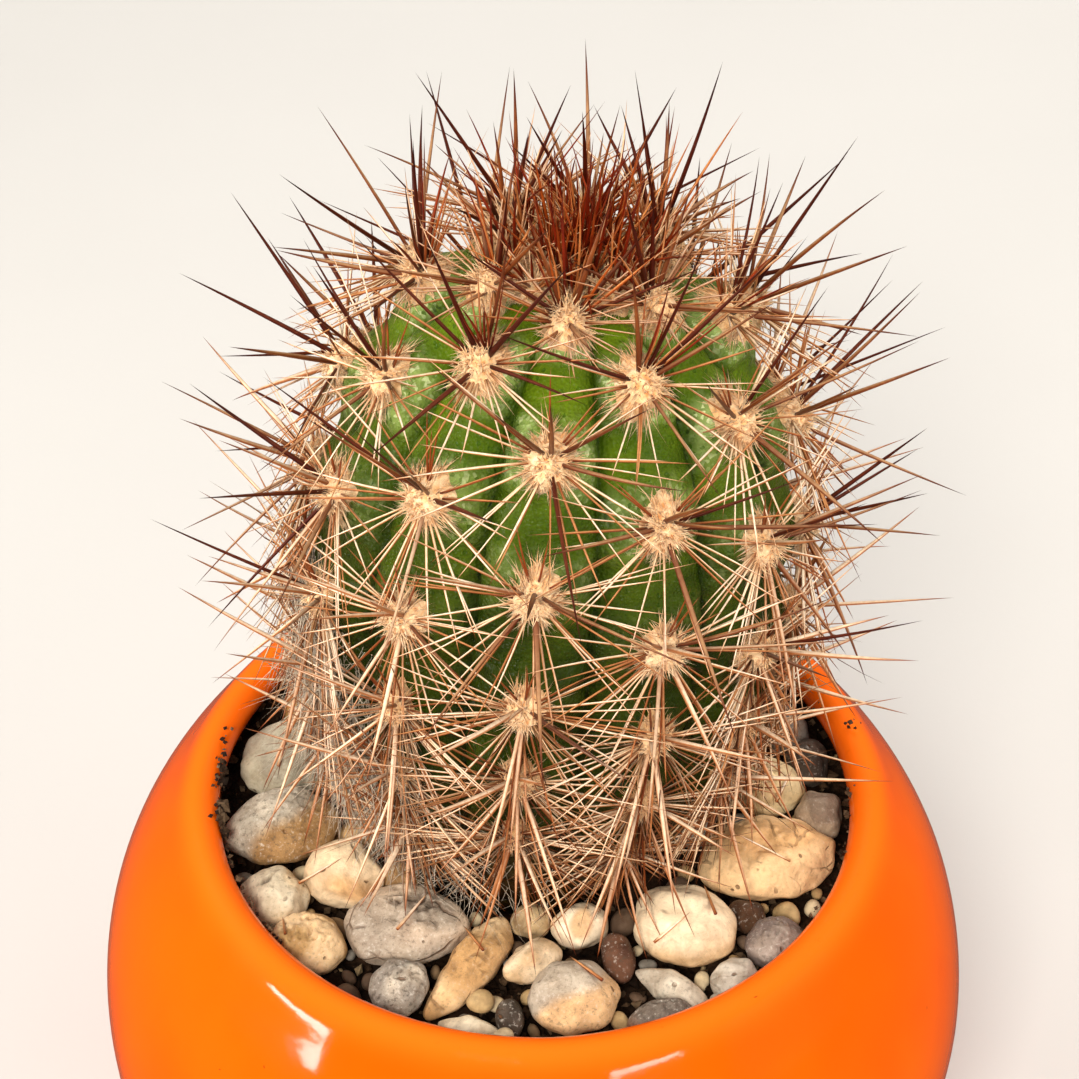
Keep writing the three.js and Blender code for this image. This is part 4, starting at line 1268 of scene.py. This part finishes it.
def wool_finish():
    finish = Finish("matted_wool")
    tuft = finish.noise(0.7, detail=5, roughness=0.7, distortion=1.0)
    colour = finish.mottled(tuft, 0.34, 0.62, (0.9, 0.79, 0.66), (1.14, 1.12, 1.08))
    return finish.finish(
        Base_Color=colour, Roughness=0.9, Normal=finish.bump(tuft, 0.35),
        Sheen_Weight=0.3, Sheen_Roughness=0.5,
    )


def wool_colour(age, tone):
    """Cream and peach when young and brown when old, lighter or darker by tone."""
    fresh = colour_along(age, {0: "FFDFB0", 0.45: "FFE4BC", 0.7: "F4D0A0", 1: "C49768"})
    shade = colour_along(tone, {0: "C88E5C", 0.3: "F8DCBC", 1: "FFFFFF"})
    return fresh * shade


wool_material = wool_finish()


PAD_RINGS = 14
PAD_COLUMNS = 36
PAD_EDGE = [(2, 0.09), (3, 0.08), (5, 0.06), (8, 0.05)]  # waves round the edge, and their depth


def make_pads():
    """The mounds of matted wool under the loose strands, whose edges are ragged and lie on the
    skin."""
    draw = np.random.default_rng(71)
    reach = np.linspace(0, 1, PAD_RINGS)[:, None]
    turn = np.arange(PAD_COLUMNS)[None] * 2 * math.pi / PAD_COLUMNS
    points, faces, tints = [], [], []
    for number, cushion in enumerate(cushions + young_cushions):
        edge = cushion.size * reach
        for waves, depth in PAD_EDGE:
            edge = edge * (1 + depth * np.sin(waves * turn + draw.uniform(0, 6.3)))
        across = CUSHION_HALF_WIDTH * edge * np.sin(turn)
        up = CUSHION_HALF_HEIGHT * edge * np.cos(turn)
        rise = cushion.size * CUSHION_RISE * (1 - reach**2) ** 0.6 - 0.4 * reach**4 + 0 * turn
        shape = (cushion.seat(across, up) + rise[..., None] * cushion.out).reshape(-1, 3)
        curls = 0.5 - np.abs(lumps(shape, 1.2, 72))
        inner = np.repeat(1 - reach[:, 0] ** 4, PAD_COLUMNS)
        shape += (0.2 * np.maximum(curls, -1.2) * inner)[:, None] * cushion.out
        points.append(shape)
        faces.append(grid_faces(PAD_RINGS, PAD_COLUMNS) + number * len(shape))
        # Painted shade: the wool is tinted darker where the curls dip and lighter where they rise.
        tints.append(wool_colour(np.full(len(shape), cushion.age), 0.75 + 0.35 * curls))
    piece = new_piece(
        "wool_pads", np.concatenate(points), np.concatenate(faces)[:, ::-1], wool_material, "wool",
        tint=np.concatenate(tints),
    )
    weld(piece)


make_pads()

TUFTS = 360  # loose strands on a full cushion
LOCKS = 15  # pointed locks that the outer ones gather into
LOCK_SPREAD = 13  # degrees to each side of a lock
TUFT_REACH = 0.95  # of the cushion's half width and height
STRAND_WIDTHS = (0.08, 0.2)
OLD_ROWS = 4.5  # the rows from here down are the old ones


def make_tufts(name, some, seed):
    """Curly strands in the middle of each cushion, and pointed locks that lie out over the skin
    round it; the upper edge is browner."""
    draw = np.random.default_rng(seed)
    roots, ways, lengths, tones, ages = [], [], [], [], []
    for cushion in some:
        size = cushion.size
        count = int(TUFTS * min(size, 1))
        reach = draw.uniform(0, 1, count) ** 0.5
        lock = draw.integers(0, LOCKS, count)
        lock_turns = (np.arange(LOCKS) + draw.uniform(-0.3, 0.3, LOCKS)) * 360 / LOCKS
        turn = lock_turns[lock] + draw.uniform(-LOCK_SPREAD, LOCK_SPREAD, count)
        sine, cosine = np.sin(np.radians(turn)), np.cos(np.radians(turn))
        across = TUFT_REACH * reach * size * CUSHION_HALF_WIDTH * sine
        up = TUFT_REACH * reach * size * CUSHION_HALF_HEIGHT * cosine
        rise = size * CUSHION_RISE * (1 - reach**2) ** 0.6 - 0.1
        root = cushion.seat(across, up) + rise[:, None] * cushion.out
        curly = cushion.aside(turn) * (0.2 + reach)[:, None] + cushion.out * (1.0 - 0.6 * reach)[:, None]
        curly = curly + draw.normal(size=(count, 3)) * 0.45
        spans = 1.35 + draw.uniform(-0.15, 0.3, LOCKS)
        tips_across = size * CUSHION_HALF_WIDTH * (spans * np.sin(np.radians(lock_turns)))[lock]
        tips_up = size * CUSHION_HALF_HEIGHT * (spans * np.cos(np.radians(lock_turns)))[lock]
        lifts = draw.uniform(0.2, 1.1, LOCKS)[lock]
        to_tip = cushion.seat(tips_across, tips_up) + lifts[:, None] * cushion.out - root
        far = np.linalg.norm(to_tip, axis=1)
        combed = to_tip / far[:, None] + 0.16 * draw.normal(size=(count, 3))
        in_lock = (reach > 0.5) & (draw.random(count) < 0.8)
        way = np.where(in_lock[:, None], combed, curly / np.linalg.norm(curly, axis=1)[:, None])
        roots.append(root)
        ways.append(way / np.linalg.norm(way, axis=1)[:, None])
        free = (0.7 + 1.1 * draw.random(count)) * size
        lengths.append(np.where(in_lock, far * draw.uniform(0.75, 1.1, count), free))
        tones.append(draw.uniform(0.55, 1.25, count) - 0.35 * reach * np.maximum(cosine, 0))
        ages.append(np.full(count, cushion.age))
    roots, ways, lengths = np.concatenate(roots), np.concatenate(ways), np.concatenate(lengths)
    total = len(roots)
    bends = 0.3 * draw.normal(size=(total, 3))
    widths = draw.uniform(*STRAND_WIDTHS, total)
    points, faces, share = needles(roots, ways, lengths, widths, bends, 3, 2, power=2.5)
    each = len(points) // total
    tone = np.repeat(np.concatenate(tones), each) * (0.65 + 0.35 * share)
    tint = wool_colour(np.repeat(np.concatenate(ages), each), tone)
    new_piece(name, points, faces, wool_material, "wool", tint=tint)


upper_cushions = [cushion for cushion in cushions if cushion.row < OLD_ROWS]
lower_cushions = [cushion for cushion in cushions if cushion.row > OLD_ROWS]
make_tufts("wool_tufts_young", young_cushions + upper_cushions, 73)
make_tufts("wool_tufts_old", lower_cushions, 74)

# ---- Spines ----
# Stiff, needle-shaped spines of horn. Each cushion bears a flat star of thin, pale ones and a few
# long, thick ones, which are dark near the crown and bleached low down.


def spine_finish():
    """Horn with painted light and shade: paler where its surface faces up, browner where it faces down."""
    finish = Finish("spine_horn")
    streak = finish.noise(0.8, detail=4, roughness=0.6)
    colour = finish.mottled(streak, 0.3, 0.7, (0.84, 0.77, 0.72), (1.1, 1.08, 1.06))
    # Painted light and shade: the spine is paler on faces that point up and browner on faces that point
    # down.
    facing = finish.add("ShaderNodeNewGeometry", {}).outputs["Normal"]
    upward = finish.add("ShaderNodeSeparateXYZ", {0: facing}).outputs["Z"]
    under = finish.shaded(colour, (0.5, 0.23, 0.1, 1))
    colour = finish.mix(finish.spread(upward, 0.1, 0.75), under, colour)
    relief = finish.bump(streak, 0.03)
    return finish.finish(Base_Color=colour, Roughness=0.4, Normal=relief, Specular_IOR_Level=0.35)


spine_material = spine_finish()
bed = surface_of([*pebbles, gravel, soil, bpy.data.objects["glazed_pot"]])
flesh = surface_of([stem])
BED_MARGIN = 0.3
SPINE_START = 0.12  # the share of a spine, at its root, that may touch what carries it
HIGHEST_TIP = 161.6
RAISE_TRIES = 16
RAISE_STEP = 4  # degrees
LONG_SPINE = 9
SHORTEST_SPINE = 3
LOW_ROWS = 4  # whose long spines are shortened too as they are raised


def struck(tree, root, way, length):
    """How far along its way a spine meets a surface, or None."""
    start = SPINE_START * length
    return tree.ray_cast(Vector(root + start * way), Vector(way), length - start)[3]


def within_box(root, way, length):
    """Shortens a spine that would leave the solid model's box, or stand out over the crown."""
    if way[2] > 0.1:
        length = min(length, (HIGHEST_TIP - root[2]) / way[2])
    for axis in range(3):
        limit = (cad_high if way[axis] > 0 else cad_low)[axis] / MM
        if abs(way[axis]) > 1e-6:
            length = min(length, (limit - root[axis]) / way[axis] - BED_MARGIN)
    return length


class SpineBunch:
    """Spines gathered from many cushions, to become one piece."""

    def __init__(self, name, seed):
        self.name = name
        self.draw = np.random.default_rng(seed)
        self.rows = []

    def add(self, cushion, lean, turn, length, width, bend, tone, aside=0.0):
        """A spine that leans from straight out by an angle, towards a turn from up, and starts
        some way aside from the middle of the cushion. It is raised until it clears the skin, and
        raised or shortened where it would run into the bed of stones."""
        root = cushion.at + 0.45 * cushion.size * cushion.out + aside * cushion.size * cushion.aside(turn)
        for _ in range(RAISE_TRIES):
            slant = math.radians(lean)
            way = math.cos(slant) * cushion.out + math.sin(slant) * cushion.aside(turn)
            on_skin = struck(flesh, root, way, length) is not None
            on_bed = struck(bed, root, way, length) is not None
            if not on_skin and not on_bed:
                break
            if on_bed and length > LONG_SPINE and cushion.row > ROWS - LOW_ROWS:
                length *= 0.93
            lean -= RAISE_STEP
        met = struck(bed, root, way, length)
        if met is not None:
            length = SPINE_START * length + met - BED_MARGIN
        length = within_box(root, way, length)
        if length > SHORTEST_SPINE:
            sag = bend * self.draw.normal(size=3) - 0.6 * bend * cushion.out
            self.rows.append((root, way, length, width, sag, tone, cushion.age))

    def make(self, colours, sides=5, steps=6, power=3.0):
        """Makes the piece; colours gives a colour from along, tone and age."""
        roots, ways, lengths, widths, bends, tones, ages = (np.array(part) for part in zip(*self.rows))
        points, faces, share = needles(roots, ways, lengths, widths, bends, sides, steps, power)
        each = len(points) // len(roots)
        tint = colours(share, np.repeat(tones, each), np.repeat(ages, each))
        new_piece(self.name, points, faces, spine_material, "spine", tint=tint)


def mixed(share, a, b):
    return a + (b - a) * share[:, None]


def star_colour(along, tone, age):
    """Cream to white, darker at the root, with a brown tip; some are brown all over."""
    pale = colour_along(along, {0: "C08650", 0.12: "EFD2A8", 0.6: "FFF1DA", 0.84: "E6C096", 1: "7E4020"})
    brown = colour_along(along, {0: "8A4B28", 0.3: "B77C4C", 0.75: "C8905C", 1: "5A2A14"})
    straw = colour_along(along, {0: "B07C48", 0.3: "F6E0C0", 0.8: "EACBA2", 1: "7A4420"})
    colour = mixed(smooth_between(tone, 0.62, 0.74), pale, brown)
    straw = mixed(smooth_between(tone, 0.55, 0.75), straw, 0.62 * brown)
    aged = smooth_between(age + 0.25 * (tone - 0.5), 0.55, 0.85)
    young = 1 - smooth_between(age, 0.0, 0.16)
    return mixed(0.6 * young, mixed(aged, colour, straw), brown)


# By row: how many on each side, their usual length, and how far they lean from straight out.
STAR_COUNTS = ([0, 3, 6, 11], [10, 12, 16, 20])
STAR_LENGTHS = ([0, 1, 3, 7, 11], [11, 13.5, 15.3, 15.8, 13.5])
STAR_LEANS = ([0, 1, 3, 11], [58, 68, 80, 84])
STAR_WIDTHS = (0.2, 0.33)
STAR_FAN = (54, 124)  # where the fan on each side starts, from up, and how wide it is


def make_star_spines():
    """The flat stars: a fan to each side, a few down, and short brown ones up."""
    bunch = SpineBunch("star_spines", 81)
    draw = bunch.draw
    for cushion in cushions:
        count = int(np.interp(cushion.row, *STAR_COUNTS))
        usual = np.interp(cushion.row, *STAR_LENGTHS)
        usual_lean = np.interp(cushion.row, *STAR_LEANS)
        for sign in (-1, 1):
            for i in range(count):
                turn = sign * (STAR_FAN[0] + (i + 0.5) * STAR_FAN[1] / count) + draw.normal() * 7
                length = usual * draw.uniform(0.78, 1.12)
                width = draw.uniform(*STAR_WIDTHS)
                lean = usual_lean + draw.normal() * 5
                bunch.add(cushion, lean, turn, length, width, 0.03, draw.random(), aside=1.7)
        for _ in range(4):
            turn = draw.uniform(-45, 45)
            length = usual * draw.uniform(0.4, 0.7)
            bunch.add(cushion, usual_lean - 12, turn, length, 0.26, 0.03, 1.0, aside=1.7)
    bunch.make(star_colour)


make_star_spines()


def central_colour(along, tone, age):
    """Dark mahogany, often with a tan middle, bleached to straw with brown tips low down."""
    dark = colour_along(along, {0: "4A1C10", 0.5: "5E2A18", 0.8: "42180D", 1: "240C07"})
    banded = colour_along(along, {0: "6A3420", 0.25: "8E6242", 0.6: "A9825C", 0.82: "66331E", 1: "2A120B"})
    bleached = colour_along(along, {0: "B98A5E", 0.3: "F0DABC", 0.7: "E8CCAA", 0.88: "A86F48", 1: "5A2E1A"})
    colour = mixed(smooth_between(tone + 0.4 * age, 0.5, 0.65), dark, banded)
    return mixed(smooth_between(age + 0.35 * (tone - 0.5), 0.42, 0.6), colour, bleached)


CENTRAL_LENGTHS = ([0, 1, 2, 3, 5, 11], [15, 19, 22, 22, 20.5, 18.5])  # by row
CENTRAL_WIDTHS = (0.4, 0.66)
# Turn from up and lean from straight out of the long spines of one cushion.
UPPER_CENTRALS = [(-70, 55), (-32, 34), (12, 24), (48, 40), (82, 58), (178, 50)]
MIDDLE_CENTRALS = [(-48, 40), (-8, 28), (38, 36), (78, 56), (168, 56), (198, 62)]
LOWER_CENTRALS = [(-38, 42), (30, 40), (160, 62), (180, 56), (202, 66)]


def make_central_spines():
    bunch = SpineBunch("central_spines", 83)
    draw = bunch.draw
    for cushion in cushions:
        row = cushion.row
        places = UPPER_CENTRALS if row < 3.5 else MIDDLE_CENTRALS if row < 6.5 else LOWER_CENTRALS
        usual = np.interp(row, *CENTRAL_LENGTHS)
        for turn, lean in places:
            downward = abs(turn) > 120
            turn += draw.normal() * 10
            lean += draw.normal() * 7
            length = usual * draw.uniform(0.7, 1.08)
            width = draw.uniform(*CENTRAL_WIDTHS)
            tone = draw.random() + (0.35 if downward else 0)
            bunch.add(cushion, lean, turn, length, width, 0.03, tone, aside=0.7)
    bunch.make(central_colour, sides=7, steps=10, power=2.2)


make_central_spines()


def crown_colour(along, tone, age):
    """Red-brown, from near black to rust, and a few nearly white."""
    dark = colour_along(along, {0: "4A1608", 0.5: "9A3C14", 1: "421207"})
    rust = colour_along(along, {0: "AA5224", 0.6: "E09A56", 1: "8E4220"})
    pale = colour_along(along, {0: "CE9A62", 0.6: "F8DEB6", 1: "C68A58"})
    colour = mixed(smooth_between(tone, 0.4, 0.55), dark, rust)
    return mixed(smooth_between(tone, 0.66, 0.76), colour, pale)


def make_crown_spines():
    """The tuft of young spines that stand close together over the growing point, darkest in its
    middle, where their own dark colour is deepened by painted shade."""
    bunch = SpineBunch("crown_spines", 85)
    draw = bunch.draw
    for cushion in young_cushions:
        # The smaller cushions in the middle of the tuft get darker spines: their own colour, and painted
        # shade.
        paler = np.interp(cushion.size, [0.35, 0.75], [0.5, 1.2])
        for _ in range(10):
            lean = abs(draw.normal()) * 26
            length = 6 + 9 * draw.random() ** 2
            width = draw.uniform(0.22, 0.4)
            tone = paler * draw.random()
            bunch.add(cushion, lean, draw.uniform(-180, 180), length, width, 0.07, tone, aside=0.5)
        for _ in range(8):
            lean = draw.uniform(15, 65)
            length = draw.uniform(5, 11)
            tone = paler * draw.uniform(0.45, 1.1)
            bunch.add(cushion, lean, draw.uniform(-180, 180), length, 0.2, 0.12, tone, aside=0.8)
    for cushion in cushions:
        if cushion.row > 1.5:
            continue
        for _ in range(6):
            lean = draw.uniform(5, 55)
            length = draw.uniform(7, 14)
            width = draw.uniform(0.22, 0.38)
            turn = draw.uniform(-80, 80)
            bunch.add(cushion, lean, turn, length, width, 0.07, draw.random(), aside=1.2)
    bunch.make(crown_colour)


make_crown_spines()


def tangle_colour(along, tone, age):
    """Weathered straw, from grey and tan to dark brown."""
    straw = colour_along(along, {0: "6E4A2C", 0.5: "B28C60", 1: "7C5430"})
    grey = colour_along(along, {0: "7A6854", 0.5: "AE9A80", 1: "7E6A52"})
    brown = colour_along(along, {0: "3C1E0E", 0.5: "68381A", 1: "341608"})
    colour = mixed(smooth_between(tone, 0.3, 0.5), straw, grey)
    return mixed(smooth_between(tone, 0.68, 0.78), colour, brown)


def make_tangle():
    """Old, thin, broken spines that hang about the foot, thickest at the left, where they have
    matted together like cobweb."""
    bunch = SpineBunch("old_spines", 87)
    draw = bunch.draw
    for cushion in cushions:
        if cushion.row < 5.5:
            continue
        matted = cushion.at[0] < -6 and cushion.row > 6.5
        count = 44 if matted else 40 if cushion.row > 8.5 else 22
        for _ in range(count):
            turn = 180 + draw.normal() * 65
            lean = draw.uniform(45, 88)
            length = draw.uniform(5, 12)
            width = draw.uniform(0.13, 0.26)
            tone = draw.uniform(0.3, 0.72) if matted else draw.random()
            bunch.add(cushion, lean, turn, length, width, 0.2, tone, aside=1.4)
    bunch.make(tangle_colour, sides=4, steps=5)


make_tangle()

COBWEB_HAIRS = 4200
COBWEB_SIDE = math.radians(-79)  # from the front, to the left
COBWEB_HEIGHT = 46
COBWEB_DARK = paint("7E6A54")
COBWEB_PALE = paint("F2E4CE")


def make_cobweb():
    """Shed hairs and splinters that have felted into a pale web down the plant's left side and
    over the neighbouring old cushions."""
    draw = np.random.default_rng(88)
    height = COBWEB_HEIGHT * draw.random(COBWEB_HAIRS) ** 1.2
    spread = np.radians(13 + 25 * (1 - height / COBWEB_HEIGHT))
    angle = COBWEB_SIDE + spread * draw.normal(size=COBWEB_HAIRS)
    arc = np.interp(height, OUTLINE_HEIGHT[::-1], OUTLINE_ARC[::-1])
    skin = to_pot(skin_at((angle - FIRST_RIB) * RIBS / (2 * math.pi), arc)[0])
    out = to_pot_direction(around(angle, 1, 0))
    across = to_pot_direction(np.column_stack([np.cos(angle), np.sin(angle), 0 * angle]))
    down = np.cross(across, out)
    roots = skin + draw.uniform(0.3, 3.4, COBWEB_HAIRS)[:, None] * out
    sway = draw.normal(size=(3, COBWEB_HAIRS, 1)) * [[[0.5]], [[0.16]], [[0.5]]]
    ways = down * (1 + sway[2]) + across * sway[0] + out * sway[1]
    ways /= np.linalg.norm(ways, axis=1)[:, None]
    lengths = draw.uniform(3.5, 11, COBWEB_HAIRS)
    tones = draw.uniform(0.36, 0.74, COBWEB_HAIRS)
    for i in range(COBWEB_HAIRS):
        met = struck(bed, roots[i], ways[i], lengths[i])
        if met is not None:
            lengths[i] = SPINE_START * lengths[i] + met - BED_MARGIN
    keep = lengths > 1.5
    bends = 0.22 * draw.normal(size=(COBWEB_HAIRS, 3))[keep]
    widths = draw.uniform(0.07, 0.16, COBWEB_HAIRS)[keep]
    points, faces, _ = needles(roots[keep], ways[keep], lengths[keep], widths, bends, 3, 5, power=2)
    each = len(points) // int(keep.sum())
    tint = mixed(np.repeat(tones[keep], each), COBWEB_DARK, COBWEB_PALE)
    new_piece("cobweb_hairs", points, faces, wool_material, "wool", tint=tint)


make_cobweb()

# Spines that have dropped off and lie on the stones: place, turn and length.
FALLEN_SPINES = [
    (16.5, -21.5, 25, 5.5), (20.5, -17.5, 100, 6.5), (-14, -19, 60, 7), (27, -9, 150, 8),
    (-25, -13, 20, 6), (6, -28, 140, 5), (-31, 7, 80, 7.5), (24, 12, 35, 7), (-20, 24, 10, 8),
    (18, 25, 70, 7), (-7, -22, 120, 5), (31, 3, 60, 5), (0, 33, 160, 7), (-29, -21, 100, 4.5),
    (34, 18, 20, 6),
]


def make_fallen_spines():
    """Each rests on the highest thing under it."""
    draw = np.random.default_rng(89)
    roots, ways, lengths = [], [], []
    for x, y, turn, length in FALLEN_SPINES:
        side = np.array([math.cos(math.radians(turn)), math.sin(math.radians(turn))])
        steps = np.linspace(-0.5, 0.5, 7) * length
        below = []
        for step in steps:
            over = Vector((x + step * side[0], y + step * side[1], LIP_HEIGHT + 12))
            below.append(bed.ray_cast(over, Vector((0, 0, -1)))[0].z)
        slope, middle = np.polyfit(steps, below, 1)
        lift = max(np.array(below) - slope * steps - middle) + 0.2
        start = np.array([x, y, middle + lift]) - length / 2 * np.array([*side, slope])
        way = np.array([*side, slope])
        roots.append(start)
        ways.append(way / np.linalg.norm(way))
        lengths.append(length)
    count = len(roots)
    widths = draw.uniform(0.3, 0.45, count)
    bends = np.zeros((count, 3))
    points, faces, share = needles(
        np.array(roots), np.array(ways), np.array(lengths), widths, bends, 5, 6, power=3
    )
    tint = star_colour(share, np.repeat(draw.uniform(0.5, 1, count), len(points) // count), 0.5 + 0 * share)
    new_piece("fallen_spines", points, faces, spine_material, "spine", tint=tint)


make_fallen_spines()
